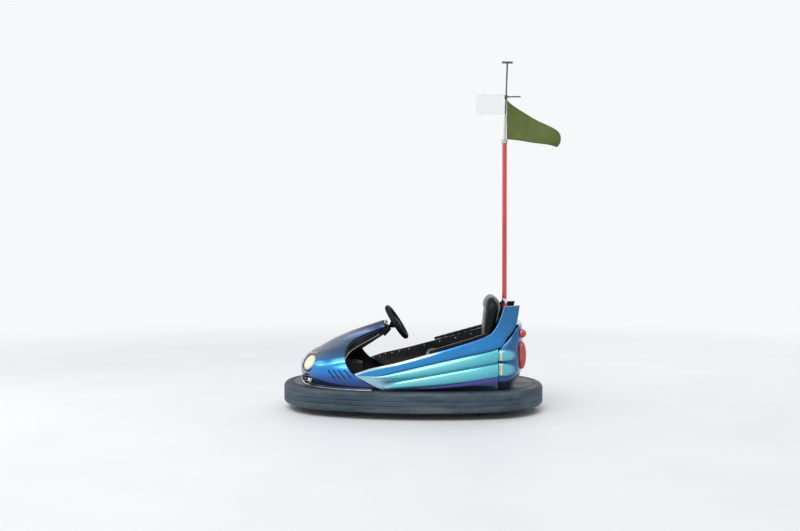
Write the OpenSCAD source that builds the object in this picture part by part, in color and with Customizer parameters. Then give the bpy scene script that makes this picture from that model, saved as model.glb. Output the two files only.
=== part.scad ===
// Two-seat fairground bumper car with a roof pick-up mast.
// X points to the nose, Y to the driver's left, Z up. Each piece is drawn about the middle of the bumper,
// and placed so that the origin lies on the floor under the middle of the whole car with its flag.

/* [Bumper ring] */
// Half of the overall length over the rubber bumper
half_len = 975; // [920:1:1040]
// Half of the overall width over the rubber bumper
half_wid = 570; // [540:1:600]
// Radius of the bumper's rounded ends in plan
end_r = 500; // [470:1:520]
// Width of the rubber ring seen from above
bumper_w = 72; // [60:1:85]
// Height of the bumper's lower edge above the floor
bumper_z0 = 50; // [40:1:65]
// Height of the bumper's top face above the floor
bumper_z1 = 200; // [190:1:215]
// Radius of the bumper's upper outer edge
bumper_rt = 34; // [20:1:40]
// Radius of the bumper's lower outer edge
bumper_rb = 24; // [15:1:35]

/* [Chassis] */
// Thickness of the floor plate
floor_t = 8; // [5:1:10]
// Height of the floor plate's top face
floor_z = 123; // [118:1:130]
// Width of the box rail that runs round inside the bumper
rail_w = 50; // [40:1:60]
// Radius of the three solid tyred wheels
wheel_r = 100; // [90:1:104]
// Width of a tyre
wheel_w = 50; // [40:1:60]
// Distance of the rear axle behind the origin
axle_x = 488; // [470:1:492]
// Half of the rear track
track_y = 290; // [270:1:300]
// Distance of the drive unit ahead of the origin
drive_x = 560; // [545:1:575]
// Outer radius of the drum over the drive unit
drum_r = 175; // [170:1:185]

/* [Body] */
// Half width of the body at its waist
body_w = 545; // [530:1:555]
// Thickness of the nose and tail mouldings
shell_t = 10; // [6:1:14]
// Thickness of the hollow side wall from its painted face to the lining
side_t = 48; // [40:1:56]
// Thickness of the black cockpit lining
lining_t = 8; // [5:1:12]
// How far each flute swells out of the side panel
flute_h = 22; // [10:1:26]
// Radius of a headlamp lens
lamp_r = 62; // [50:1:68]

/* [Controls and seat] */
// Radius of the steering wheel to the middle of its rim
wheel_rim_r = 128; // [110:1:140]
// Radius of the steering wheel's padded rim section
wheel_rim_t = 20; // [13:1:22]
// Slope of the steering column above the horizontal
column_tilt = 33; // [30:1:36]
// Height of the seat back's top edge
seat_top = 855; // [820:1:880]
// Half width of the bench seat
seat_hw = 392; // [360:1:400]

/* [Mast] */
// Diameter of the lower mast tube
pole_d = 35; // [30:1:40]
// Distance of the mast behind the origin
pole_x = 692; // [685:1:698]
// Height of the pick-up shoe's top face
mast_top_z = 2600; // [2500:1:2700]
// Length of the thin upper mast above its collar
mast_len = 584; // [540:1:640]
// Diameter of the thin upper mast
mast_d = 12; // [10:1:16]
// Drop from the shoe's top face to the flag bar
bar_drop = 266; // [220:1:300]
// Width of the blank sign panel
sign_w = 226; // [180:1:240]
// Height of the blank sign panel
sign_h = 155; // [120:1:170]

/* [Hidden] */

// Gap left between pieces that are seated on each other
seat_gap = 0.3;
// Radius of the long side arcs that are tangent to the end arcs
side_r = (pow(half_len - end_r, 2) + half_wid * half_wid - end_r * end_r) / (2 * (half_wid - end_r));
// Angle of the point where an end arc meets a side arc
join_a = atan2(side_r - half_wid, half_len - end_r);
rail_out = bumper_w + seat_gap;
rail_in = bumper_w + rail_w;
body_z0 = bumper_z1 + seat_gap;

function lerp(a, b, t) = a + (b - a) * t;
function unit(v) = v / norm(v);
function sgn(v) = v > 0 ? 1 : v < 0 ? -1 : 0;

// Curve through the four points b and c lies between, for numbers or whole table rows
function through(a, b, c, d, t) =
  0.5 * (2 * b + (c - a) * t + (2 * a - 5 * b + 4 * c - d) * t * t + (3 * b - a - 3 * c + d) * t * t * t);

// Row of a table at the fractional place t, rounded smoothly through its neighbours
function table_at(table, t) =
  let (last = len(table) - 1, i = min(floor(t), last - 1), f = t - i)
  through(table[max(i - 1, 0)], table[i], table[i + 1], table[min(i + 2, last)], f);

// Outline of the bumper plan, moved inwards by inset
function plan_quarter(inset) = concat(
  [for (k = [0:9]) let (a = join_a * k / 9)
    [half_len - end_r + (end_r - inset) * cos(a), (end_r - inset) * sin(a)]],
  [for (k = [1:6]) let (a = lerp(join_a, 90, k / 6))
    [(side_r - inset) * cos(a), half_wid - side_r + (side_r - inset) * sin(a)]]);
function plan(inset) = let (q = plan_quarter(inset), n = len(q)) concat(
  q,
  [for (k = [n - 2:-1:0]) [-q[k][0], q[k][1]]],
  [for (k = [1:n - 1]) [-q[k][0], -q[k][1]]],
  [for (k = [n - 2:-1:1]) [q[k][0], -q[k][1]]]);

// Outward direction of a grid of points at row i and column j
function grid_normal(g, i, j) =
  let (r = len(g) - 1, c = len(g[0]) - 1)
  unit(cross(g[i][min(j + 1, c)] - g[i][max(j - 1, 0)], g[min(i + 1, r)][j] - g[max(i - 1, 0)][j]));
function grid_inside(g, t) =
  [for (i = [0:len(g) - 1]) [for (j = [0:len(g[0]) - 1]) g[i][j] - t * grid_normal(g, i, j)]];
// The same for a moulding that stands on the deck
function moulding_inside(g, t) = [for (r = grid_inside(g, t)) [for (p = r) [p[0], p[1], max(p[2], body_z0)]]];
function every_cell() = function (i, j) true;

// Closed wall between two grids of points; keep says which cells of the grid exist
module wall(outer, inner, keep = every_cell()) {
  rows = len(outer);
  cols = len(outer[0]);
  half = rows * cols;
  in_grid = function (i, j) i >= 0 && j >= 0 && i < rows - 1 && j < cols - 1 && keep(i, j);
  id = function (i, j) i * cols + j;
  faces = [for (i = [0:rows - 2]) for (j = [0:cols - 2]) if (in_grid(i, j))
    let (a = id(i, j), b = id(i, j + 1), c = id(i + 1, j + 1), d = id(i + 1, j)) each [
      [a, d, c], [a, c, b],
      [half + a, half + c, half + d], [half + a, half + b, half + c],
      if (!in_grid(i - 1, j)) each [[a, b, half + b], [a, half + b, half + a]],
      if (!in_grid(i + 1, j)) each [[c, d, half + d], [c, half + d, half + c]],
      if (!in_grid(i, j - 1)) each [[d, a, half + a], [d, half + a, half + d]],
      if (!in_grid(i, j + 1)) each [[b, c, half + c], [b, half + c, half + b]]
    ]];
  polyhedron(points = concat([for (r = outer) each r], [for (r = inner) each r]), faces = faces);
}

// Solid through closed rings of points, with flat ends
module skin(rings) {
  n = len(rings[0]);
  last = len(rings) - 1;
  faces = concat(
    [[for (k = [0:n - 1]) k]],
    [[for (k = [n - 1:-1:0]) last * n + k]],
    [for (i = [0:last - 1]) for (k = [0:n - 1])
      let (a = i * n + k, b = i * n + (k + 1) % n) each [[a, b + n, b], [a, a + n, b + n]]]);
  polyhedron(points = [for (r = rings) each r], faces = faces);
}

// Half width of the painted body at a place along its length and a height
waist_z = 330;
taper_p = 2.4;
taper_k = 0.22;
function body_y(x, z) =
  body_w
  - taper_k * 1000 * pow(abs(x) / 1000, taper_p)
  - 300 * pow(max(0, z - waist_z) / 1000, 1.35)
  - 1600 * pow(max(0, waist_z - z) / 1000, 2);

// Nose rows from the deck up to the tongue's rear edge.
// Columns: rear end x, its half width as a share of the body's, rear z, tip x, tip z, squareness of the plan
nose_rows = [
  [182, 0.985, body_z0, 812, body_z0, 2.3],
  [281, 1.000, 250, 830, 250, 2.3],
  [366, 1.000, 300, 838, 300, 2.3],
  [428, 0.985, 362, 834, 347, 2.3],
  [454, 0.930, 430, 812, 386, 2.3],
  [452, 0.760, 484, 768, 420, 2.2],
  [418, 0.560, 528, 700, 455, 2.1],
  [310, 0.350, 582, 592, 516, 2.1],
  [236, 0.205, 604, 440, 580, 2.1],
  [200, 0.165, 613, 222, 655, 2.1]
];
function nose_point(row, a) =
  let (e = 2 / row[5], c = pow(cos(a), e), s = pow(abs(sin(a)), e) * sgn(a))
  [lerp(row[0], row[3], c), body_y(row[0], row[2]) * row[1] * s, lerp(row[2], row[4], pow(c, 1.2))];
nose_steps = 18;
nose_cols = 24;
nose_grid = [for (i = [0:nose_steps])
  let (row = table_at(nose_rows, i * (len(nose_rows) - 1) / nose_steps))
  [for (j = [0:nose_cols]) nose_point(row, lerp(-90, 90, j / nose_cols))]];

// Headlamp seat on the nose: centre and the direction in which the lens looks
lamp_c = [716, 352, 372];
lamp_dir = unit([0.60, 0.62, 0.50]);
// Oval grille pocket under the lamp
grille_c = [742, 338, 258];
grille_dir = unit([0.70, 0.71, 0.02]);
grille_hw = 62;
grille_hh = 40;

// Turns the Z axis to a direction and puts it at a place on the left or, with side = -1, the right
module facing(place, dir, side = 1) {
  d = [dir[0], side * dir[1], dir[2]];
  translate([place[0], side * place[1], place[2]])
    rotate([0, acos(d[2]), atan2(d[1], d[0])])
      children();
}

// Flat oval in the XY plane
module oval(hw, hh) {
  scale([hh, hw]) circle(r = 1, $fn = 48);
}

// Slanted cooling slots in each side of the nose: place of the first one's middle, and the step to the next
slot_x = 540;
slot_z = 312;
slot_step = 40;
slot_count = 4;
slot_hw = 4.5;
slot_len = 86;
slot_lean = 42;
module cooling_slots(side) {
  for (k = [0:slot_count - 1])
    translate([slot_x - k * slot_step, side * body_y(slot_x, slot_z), slot_z])
      rotate([90, slot_lean, 0])
        linear_extrude(height = 300, center = true)
          capsule(slot_hw, slot_len / 2);
}

module nose_cowl() {
  color("royalblue")
    difference() {
      wall(nose_grid, moulding_inside(nose_grid, shell_t));
      for (side = [1, -1]) {
        cooling_slots(side);
        facing(lamp_c, lamp_dir, side)
          cylinder(r = lamp_r + 7, h = 160, center = true, $fn = 64);
        facing(grille_c, grille_dir, side)
          translate([0, 0, -60])
            linear_extrude(height = 160)
              oval(grille_hw, grille_hh);
      }
    }
}

// Bright strip that covers the joint between the nose and the deck
trim_w = 16;
trim_h = 7;
// The nose leans out over the strip's inner edge
trim_in = 6.3;
trim_rows = [for (d = [trim_w, trim_in])
  [for (j = [1:nose_cols - 1])
    let (p = nose_grid[0][j], n = grid_normal(nose_grid, 0, j), out = unit([n[0], n[1], 0]))
    p + d * out + [0, 0, d > trim_in ? 3 : trim_h]]];
module cowl_trim() {
  color("lightgrey")
    wall(trim_rows, [for (r = trim_rows) [for (p = r) [p[0], p[1], body_z0]]]);
}

// Side lines from the front seam to the rear, at ten matching stations.
// Columns: x and z of the lower edge, of both edges of the lower flute, of both edges of the upper flute, of the rim
flute_end = 6;
side_lines = [
  [174, 203, 181, 207, 193, 213, 347, 292, 365, 306, 375, 316],
  [166, 203, 169, 208, 172, 221, 278, 291, 289, 304, 289, 346],
  [146, 203, 150, 209, 150, 236, 188, 288, 200, 304, 195, 369],
  [ 60, 205, 60, 214, 60, 270, 68, 287, 70, 337, 70, 398],
  [-145, 217, -145, 233, -145, 311, -145, 318, -145, 389, -145, 457],
  [-380, 238, -380, 262, -380, 354, -380, 360, -380, 441, -365, 520],
  [-628, 270, -628, 300, -628, 395, -628, 401, -628, 496, -551, 580],
  [-680, 280, -680, 310, -680, 402, -680, 408, -693, 566, -604, 624],
  [-740, 290, -740, 320, -740, 412, -740, 418, -755, 648, -644, 698],
  [-770, 300, -770, 330, -770, 422, -770, 428, -786, 790, -674, 784]
];
side_cols = 27;
// Place along one of the six lines; q counts the lines upwards and may lie between two of them
function side_line(t, k) = let (r = table_at(side_lines, t)) [r[2 * k], r[2 * k + 1]];
// Steps from line to line, and how far each band swells
band_steps = [1, 5, 1, 5, 5];
band_swell = [0, 1, 0, 1, 0.35];
side_stations = [for (b = [0:4]) each [for (s = [0:band_steps[b] - 1]) [b, s / band_steps[b]]], [4, 1]];
// The flutes grow out of the flat wedge behind the front seam
function flute_rise(t) = let (f = max(0, min(1, (t - 1.2) / 2.3))) f * f * (3 - 2 * f);
function side_point(t, b, f) =
  let (p = lerp(side_line(t, b), side_line(t, b + 1), f),
       swell = band_swell[b] * flute_h * flute_rise(t) * sqrt(sin(180 * f)))
  [p[0], body_y(p[0], p[1]) + swell, p[1]];
function inward(p, d) = [p[0], p[1] - d, p[2]];
side_skirt_in = 34;
side_skin = [for (st = side_stations)
  [for (j = [0:side_cols]) side_point(j * (len(side_lines) - 1) / side_cols, st[0], st[1])]];
side_foot = [for (j = [0:side_cols]) let (p = side_skin[0][j]) [p[0], p[1] - side_skirt_in, body_z0]];
side_turn = [for (j = [0:side_cols]) let (p = side_skin[0][j]) [p[0], p[1] - side_skirt_in * 0.8, lerp(p[2], body_z0, 0.5)]];
side_outer = concat([side_foot, side_turn], side_skin);
side_inner = [for (r = side_outer) [for (p = r) [p[0], body_y(p[0], p[2]) - side_t, p[2]]]];
side_band_row = 2 + band_steps[0] + band_steps[1] + band_steps[2] + band_steps[3];
side_flute_col = side_cols * flute_end / (len(side_lines) - 1);

module side_panel_left() {
  color("deepskyblue")
    wall(side_outer, side_inner, function (i, j) i >= side_band_row || j < side_flute_col);
}
module side_panel_right() {
  mirror([0, 1, 0]) side_panel_left();
}

// Tail rows from the deck up and over to the shelf behind the seat.
// Columns: x at the seam, z there, inset from the body's width there, x at the middle, z there, squareness in plan
tail_rows = [
  [-632, body_z0, 34, -762, body_z0, 2.6],
  [-632, 236, 27, -776, 246, 2.6],
  [-632, 277, 0, -802, 292, 2.7],
  [-632, 316, 0, -815, 330, 2.9],
  [-632, 362, 0, -821, 376, 3.0],
  [-633, 408, 0, -824, 424, 3.0],
  [-636, 480, 0, -824, 494, 3.0],
  [-713, 566, 0, -821, 578, 3.0],
  [-764, 637, 2, -813, 640, 3.0],
  [-776, 648, 68, -798, 656, 3.0],
  [-650, 658, 68, -650, 668, 2.0]
];
shelf_z = tail_rows[len(tail_rows) - 1][1];
tail_steps = 20;
tail_cols = 28;
// Rounded lobes in which the flutes run out. Columns: height of the middle, half height, reach back from the seam
tail_lobes = [[450, 44, 122], [352, 48, 118]];
lobe_h = 18;
lobe_x = -632;
function lobe(x, z, row) =
  lobe_h * sqrt(max(0, 1 - pow(abs(z - row[0]) / row[1], 2.4) - pow(max(0, lobe_x - x) / row[2], 3)));
function tail_point(row, a) =
  let (e = 2 / row[5], c = pow(cos(a), e), s = pow(abs(sin(a)), e) * sgn(a),
       x = lerp(row[0], row[3], c), z = lerp(row[1], row[4], pow(c, 1.2)))
  [x, (body_y(row[0], row[1]) - row[2]) * s + sgn(a) * (lobe(x, z, tail_lobes[0]) + lobe(x, z, tail_lobes[1])), z];
tail_grid = [for (i = [0:tail_steps])
  let (row = table_at(tail_rows, i * (len(tail_rows) - 1) / tail_steps))
  [for (j = [0:tail_cols]) tail_point(row, lerp(90, -90, j / tail_cols))]];

// Tail lamps on each rear corner. Columns: height of the lamp's middle, half width, half height
tail_lamp_rows = [[594, 28, 32], [440, 36, 98]];
tail_lamp_c = [-796, 340];
tail_lamp_dir = unit([-0.95, 0.30, 0]);
lens_depth = 32;
// How far inside a lamp's middle its opening is cut
lamp_cut = 26;
// Side markers at the flutes' ends. Columns: height of the middle, half height
marker_rows = [[444, 31], [352, 37]];
marker_x = -649;
marker_hw = 8;

module capsule(hw, hh) {
  square([2 * hw, 2 * (hh - hw)], center = true);
  for (s = [-1, 1])
    translate([0, s * (hh - hw)]) circle(r = hw, $fn = 32);
}
module marker_bar(row, grow) {
  translate([marker_x, body_y(marker_x, row[0]) + lobe_h + 5, row[0]])
    rotate([90, 0, 0])
      linear_extrude(height = lobe_h + 20)
        capsule(marker_hw + grow, row[1] + grow);
}

module tail_cowl() {
  color("royalblue")
    difference() {
      wall(tail_grid, moulding_inside(tail_grid, shell_t));
      translate([-pole_x, 0, shelf_z - 50])
        cylinder(d = pole_d + 3, h = 100, $fn = 48);
      for (side = [1, -1])
        for (row = tail_lamp_rows)
          facing([tail_lamp_c[0], tail_lamp_c[1], row[0]], tail_lamp_dir, side)
            translate([0, 0, -lamp_cut])
              linear_extrude(height = lamp_cut + 60)
                oval(row[1] + seat_gap, row[2] + seat_gap);
      for (m = [0, 1])
        mirror([0, m, 0])
          for (row = marker_rows) marker_bar(row, seat_gap);
    }
}

module tail_lamps() {
  color("red")
    for (side = [1, -1])
      for (row = tail_lamp_rows)
        facing([tail_lamp_c[0], tail_lamp_c[1], row[0]], tail_lamp_dir, side)
          translate([0, 0, -12]) {
            linear_extrude(height = 16)
              oval(row[1], row[2]);
            translate([0, 0, 16])
              difference() {
                scale([row[2], row[1], lens_depth]) sphere(r = 1, $fn = 48);
                translate([-row[2] - 1, -row[1] - 1, -lens_depth - 1])
                  cube([2 * row[2] + 2, 2 * row[1] + 2, lens_depth + 1]);
              }
          }
}
module side_markers() {
  color("orange")
    for (m = [0, 1])
      mirror([0, m, 0])
        for (row = marker_rows) marker_bar(row, 0);
}

// Black lining on the inner face of each side wall, from the rail up to just under the rim
lining_cols = 18;
lining_rows = 4;
lining_end = 6.2;
lining_drop = 3;
lining_gap = 4.5;
lining_face = [for (i = [0:lining_rows]) [for (j = [0:lining_cols])
  let (t = j * lining_end / lining_cols, low = side_line(t, 0), top = side_line(t, 5),
       x = lerp(low[0], top[0], i / lining_rows), z = lerp(body_z0, top[1] - lining_drop, i / lining_rows))
  [x, body_y(x, z) - side_t - lining_gap, z]]];
module lining() {
  wall(lining_face, [for (r = lining_face) [for (p = r) inward(p, lining_t)]]);
}
module lining_left() {
  color("dimgray") lining();
}
module lining_right() {
  color("dimgray") mirror([0, 1, 0]) lining();
}

// Padded arm rest on the rim beside the seat
pad_hw = 22;
pad_hh = 13;
pad_lift = 0.6;
pad_t0 = 4.0;
pad_t1 = 5.97;
pad_rings = [for (k = [0:12])
  let (t = lerp(pad_t0, pad_t1, k / 12), p = side_line(t, 5), r = 0.72 + 0.28 * sqrt(sin(180 * lerp(0.02, 0.98, k / 12))))
  [for (a = [0:30:330])
    [p[0], body_y(p[0], p[1]) - pad_hw - 3 + r * pad_hw * pow(abs(cos(a)), 0.7) * sgn(cos(a)),
     p[1] + pad_hh + pad_lift + r * pad_hh * pow(abs(sin(a)), 0.7) * sgn(sin(a))]]];
module arm_pad_left() {
  color("black") skin(pad_rings);
}
module arm_pad_right() {
  color("black") mirror([0, 1, 0]) skin(pad_rings);
}

module cone_ring(r0, r1, h, bore) {
  difference() {
    cylinder(r1 = r0, r2 = r1, h = h, $fn = 64);
    translate([0, 0, -1]) cylinder(d = bore, h = h + 2, $fn = 64);
  }
}

// Headlamp: a domed lens in a deep bezel that stands in the nose's round opening
bezel_w = 6;
bezel_depth = 44;
module headlamp(side) {
  facing(lamp_c, lamp_dir, side)
    intersection() {
      translate([0, 0, -120]) sphere(r = 142, $fn = 96);
      translate([0, 0, -6]) cylinder(r = lamp_r, h = 40, $fn = 64);
    }
}
module bezel(side) {
  facing(lamp_c, lamp_dir, side)
    translate([0, 0, -bezel_depth + 14])
      difference() {
        cylinder(r = lamp_r + bezel_w, h = bezel_depth, $fn = 64);
        translate([0, 0, 4]) cylinder(r = lamp_r + seat_gap, h = bezel_depth, $fn = 64);
      }
}
module headlamps() {
  color("lightyellow")
    for (side = [1, -1]) headlamp(side);
}
module lamp_bezels() {
  color("midnightblue")
    for (side = [1, -1]) bezel(side);
}

// Oval grille pockets with three bars each, and the fog lamp at the outer end of each
grille_wall = 4;
grille_bars = 3;
bar_t = 5;
fog_r = 15;
fog_at = [6, 36];
module nose_grilles() {
  color("darkslateblue")
    for (side = [1, -1])
      facing(grille_c, grille_dir, side)
        translate([0, 0, -24])
          difference() {
            union() {
              difference() {
                linear_extrude(height = 30) oval(grille_hw - seat_gap, grille_hh - seat_gap);
                translate([0, 0, grille_wall])
                  linear_extrude(height = 40) oval(grille_hw - grille_wall, grille_hh - grille_wall);
              }
              intersection() {
                linear_extrude(height = 40) oval(grille_hw - 1, grille_hh - 1);
                for (k = [0:grille_bars - 1])
                  translate([(k - (grille_bars - 1) / 2) * grille_hh * 0.5 - bar_t / 2, -grille_hw, 2])
                    cube([bar_t, 2 * grille_hw, 26]);
              }
            }
            translate([fog_at[0], side * fog_at[1], grille_wall])
              cylinder(r = fog_r + seat_gap, h = 60, $fn = 48);
          }
}
module fog_lamps() {
  color("white")
    for (side = [1, -1])
      facing(grille_c, grille_dir, side)
        translate([fog_at[0], side * fog_at[1], -24 + grille_wall + seat_gap])
          intersection() {
            cylinder(r = fog_r, h = 32, $fn = 48);
            translate([0, 0, 2]) sphere(r = 30, $fn = 64);
          }
}

// Closed decks carry the nose ahead of one place and the tail behind another
deck_t = 10;
nose_deck_x = 590;
tail_deck_x = -640;
wheel_slot = 10;
module deck(from, to) {
  translate([0, 0, bumper_z1 - deck_t])
    linear_extrude(height = deck_t)
      intersection() {
        polygon(plan(rail_out));
        translate([from, -half_wid]) square([to - from, 2 * half_wid]);
      }
}
module chassis_pan() {
  color("darkgray")
    difference() {
      union() {
        difference() {
          translate([0, 0, floor_z - floor_t])
            linear_extrude(height = bumper_z1 - floor_z + floor_t) polygon(plan(rail_out));
          translate([0, 0, floor_z])
            linear_extrude(height = 200) polygon(plan(rail_in));
        }
        deck(nose_deck_x, half_len);
        deck(-half_len, tail_deck_x);
      }
      translate([drive_x, 0, floor_z - floor_t - 1])
        cylinder(r = drum_r - drum_t - 2, h = floor_t + 2, $fn = 96);
      translate([drive_x, 0, floor_z])
        cylinder(r = drum_r + 1, h = 400, $fn = 96);
      translate([-pole_x, 0, floor_z])
        cylinder(d = socket_d + 2 * seat_gap, h = 200, $fn = 64);
      for (side = [1, -1])
        translate([-axle_x - wheel_r - 12, side * track_y - wheel_w / 2 - wheel_slot, 0])
          cube([2 * wheel_r + 24, wheel_w + 2 * wheel_slot, 180]);
    }
}

// Bumper: a rubber section with three grooves, carried round the plan.
// In the section X is 0 on the outer face and negative inwards, and Y is the height above the lower edge
groove_d = 5;
groove_half = 5;
groove_rows = [0.78, 0.55, 0.32];
bumper_h = bumper_z1 - bumper_z0;
bumper_section = concat(
  [[-bumper_w, 0], [-bumper_w, bumper_h]],
  [for (a = [90:-22.5:0]) [bumper_rt * (cos(a) - 1), bumper_h + bumper_rt * (sin(a) - 1)]],
  [for (f = groove_rows) each [for (k = [1, 0, -1]) [(abs(k) - 1) * groove_d, f * bumper_h + k * groove_half]]],
  [for (a = [0:-30:-90]) [bumper_rb * (cos(a) - 1), bumper_rb * (1 + sin(a))]]);
module bumper() {
  paths = [for (p = bumper_section) plan(-p[0])];
  n = len(bumper_section);
  m = len(paths[0]);
  points = [for (k = [0:m - 1]) for (i = [0:n - 1]) [paths[i][k][0], paths[i][k][1], bumper_z0 + bumper_section[i][1]]];
  faces = [for (k = [0:m - 1]) for (i = [0:n - 1])
    let (a = k * n + i, b = k * n + (i + 1) % n, c = ((k + 1) % m) * n + (i + 1) % n, d = ((k + 1) % m) * n + i)
      each [[a, b, c], [a, c, d]]];
  color("slategray") polyhedron(points = points, faces = faces);
}

// Drum over the drive unit, with the bearing that carries the unit in its roof
drum_t = 8;
drum_roof = 336;
king_d = 40;
pin_gap = 0.5;
boss_r = 36;
gear_top = 412;
module drive_drum() {
  color("gray")
    translate([drive_x, 0, 0])
      difference() {
        union() {
          translate([0, 0, floor_z]) cylinder(r = drum_r, h = drum_roof - floor_z, $fn = 96);
          translate([0, 0, drum_roof - 1]) cylinder(r = boss_r + 18, h = 9, $fn = 64);
        }
        translate([0, 0, floor_z - 1]) cylinder(r = drum_r - drum_t, h = drum_roof - floor_z - drum_t + 1, $fn = 96);
        cylinder(d = king_d + 2 * pin_gap, h = drum_roof + boss_r, $fn = 64);
      }
}

// Ribbed rubber mat in the cockpit, cut round the drum and the seat
mat_t = 5;
mat_front = 700;
seat_front_x = -96;
rib_pitch = 40;
module floor_mat() {
  color("black")
    difference() {
      translate([0, 0, floor_z + seat_gap])
        linear_extrude(height = mat_t)
          intersection() {
            polygon(plan(rail_in + 4));
            translate([seat_front_x + 4, -half_wid]) square([mat_front, 2 * half_wid]);
          }
      translate([drive_x, 0, 0]) cylinder(r = drum_r + 3, h = 300, $fn = 96);
      translate([pedal_x - 16, pedal_y - pedal_w / 2 - 3, 0])
        cube([52, pedal_w + 6, 300]);
    }
}

// Accelerator pedal on its foot plate
pedal_x = 318;
pedal_y = -150;
pedal_w = 84;
module pedal() {
  color("silver")
    translate([pedal_x, pedal_y, floor_z + seat_gap]) {
      translate([-12, -pedal_w / 2, 0]) cube([44, pedal_w, 5]);
      translate([26, -8, 4]) cube([5, 16, 46]);
      translate([22, 0, 50])
        rotate([0, -38, 0])
          translate([-4, -pedal_w / 2, -50])
            cube([7, pedal_w, 108]);
    }
}

// Bench seat: a hollow base over the rear wheels, a cushion and a raked back with rounded shoulders
base_t = 12;
base_top = 332;
seat_rear_x = -612;
module seat_base() {
  color("dimgray")
    difference() {
      intersection() {
        translate([0, seat_hw, 0])
          rotate([90, 0, 0])
            linear_extrude(height = 2 * seat_hw)
              polygon([[seat_rear_x, floor_z + seat_gap], [seat_front_x, floor_z + seat_gap],
                       [seat_front_x - 22, base_top], [seat_rear_x, base_top]]);
        linear_extrude(height = base_top + 1) polygon(plan(rail_in + 2));
      }
      translate([0, 0, floor_z - 10])
        linear_extrude(height = base_top - base_t - floor_z + 10)
          intersection() {
            polygon(plan(rail_in + 2 + base_t));
            translate([seat_rear_x + base_t, -seat_hw])
              square([seat_front_x - seat_rear_x - 22 - 2 * base_t, 2 * seat_hw]);
          }
    }
}
cushion_h = 88;
cushion_r = 26;
module cushion_side() {
  x0 = seat_rear_x + 112;
  x1 = seat_front_x + 4;
  translate([x0, base_top + seat_gap]) square([x1 - x0, cushion_h - cushion_r]);
  translate([x0, base_top + seat_gap]) square([x1 - x0 - cushion_r, cushion_h]);
  translate([x1 - cushion_r, base_top + seat_gap + cushion_h - cushion_r]) circle(r = cushion_r, $fn = 48);
}
module seat_cushion() {
  color("black")
    translate([0, seat_hw - 12, 0])
      rotate([90, 0, 0])
        linear_extrude(height = 2 * seat_hw - 24)
          cushion_side();
}
// Back cushion from its foot to its rounded top.
// Columns: height, x of the front face, x of the rear face, half width
back_low = base_top + seat_gap;
back_front_x = seat_rear_x + 108;
back_rows = [
  [back_low, 0, -94, 0.842],
  [450, -8, -104, 0.842],
  [600, -20, -118, 0.842],
  [690, -29, -132, 0.838],
  [760, -36, -146, 0.815],
  [810, -43, -136, 0.755],
  [seat_top - 12, -54, -116, 0.640],
  [seat_top, -72, -98, 0.500]
];
back_steps = 14;
module seat_back() {
  color("black")
    skin([for (k = [0:back_steps])
      let (row = table_at(back_rows, k * (len(back_rows) - 1) / back_steps),
           mid = back_front_x + (row[1] + row[2]) / 2, deep = (row[1] - row[2]) / 2, hw = seat_hw * row[3])
      [for (a = [0:10:350])
        [mid + deep * pow(abs(cos(a)), 0.5) * sgn(cos(a)), hw * pow(abs(sin(a)), 0.3) * sgn(sin(a)), row[0]]]]);
}

// Steering: the wheel's middle, and the place along the column measured from it towards the nose
wheel_c = [120, 0, 643];
column_dir = [-cos(column_tilt), 0, sin(column_tilt)];
tube_d = 44;
shaft_d = 28;
tube_from = 66;
shaft_end = 260;
boot_end = 134;
boot_r = 44;
column_len = (drive_x - wheel_c[0]) / cos(column_tilt) - 36;
module along_column(s) {
  facing(wheel_c - s * column_dir, column_dir) children();
}
module steering_column() {
  color("dimgray")
    difference() {
      union() {
        along_column(column_len) cylinder(d = tube_d, h = column_len - tube_from, $fn = 64);
        translate([drive_x, 0, drum_roof + 8 + seat_gap])
          cylinder(r = boss_r + 12, h = gear_top - drum_roof - 8, $fn = 64);
      }
      along_column(shaft_end + 10) cylinder(d = shaft_d + 2 * pin_gap, h = shaft_end, $fn = 64);
      translate([drive_x, 0, 0]) cylinder(d = king_d + 2 * pin_gap, h = king_top + 4, $fn = 64);
    }
}
module column_boot() {
  color("black")
    along_column(boot_end)
      cone_ring(boot_r, tube_d / 2 + 5, boot_end - tube_from, tube_d + 2 * seat_gap);
}

// Trough round the column under the tongue. Columns: place along the column from the wheel, height over its middle
shroud_rows = [[138, 62], [220, 82], [334, 108]];
shroud_t = 4;
shroud_in = tube_d / 2 + seat_gap;
module shroud_slab(half, points) {
  along_column(0)
    rotate([90, 0, 0])
      linear_extrude(height = 2 * half, center = true)
        polygon([for (p = points) [-p[1], -p[0]]]);
}
module column_shroud() {
  first = shroud_rows[0];
  last = shroud_rows[len(shroud_rows) - 1];
  color("black")
    difference() {
      shroud_slab(shroud_in + shroud_t,
        concat(shroud_rows, [[last[0], -shroud_in - shroud_t], [first[0], -shroud_in - shroud_t]]));
      shroud_slab(shroud_in,
        [[0, 2 * last[1]], [2 * last[0], 2 * last[1]], [2 * last[0], -shroud_in], [0, -shroud_in]]);
    }
}
hub_r = 44;
spoke_w = 30;
spoke_t = 9;
spoke_angles = [90, 210, 330];
module steering_hub() {
  color("black") {
    along_column(shaft_end) cylinder(d = shaft_d, h = shaft_end, $fn = 64);
    along_column(52) cylinder(r1 = 20, r2 = hub_r, h = 48, $fn = 64);
    along_column(5) cylinder(r = hub_r, h = 20, $fn = 64);
    along_column(spoke_t / 2)
      for (a = spoke_angles)
        rotate([0, 0, a])
          translate([0, -spoke_w / 2, 0])
            cube([wheel_rim_r - wheel_rim_t + 1.5, spoke_w, spoke_t]);
  }
}
module steering_rim() {
  color("black")
    along_column(0)
      difference() {
        rotate_extrude($fn = 120)
          translate([wheel_rim_r, 0]) circle(r = wheel_rim_t, $fn = 48);
        for (a = spoke_angles)
          rotate([0, 0, a])
            translate([0, -spoke_w / 2 - seat_gap, -spoke_t / 2 - seat_gap])
              cube([wheel_rim_r - wheel_rim_t + 2, spoke_w + 2 * seat_gap, spoke_t + 2 * seat_gap]);
      }
}

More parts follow.
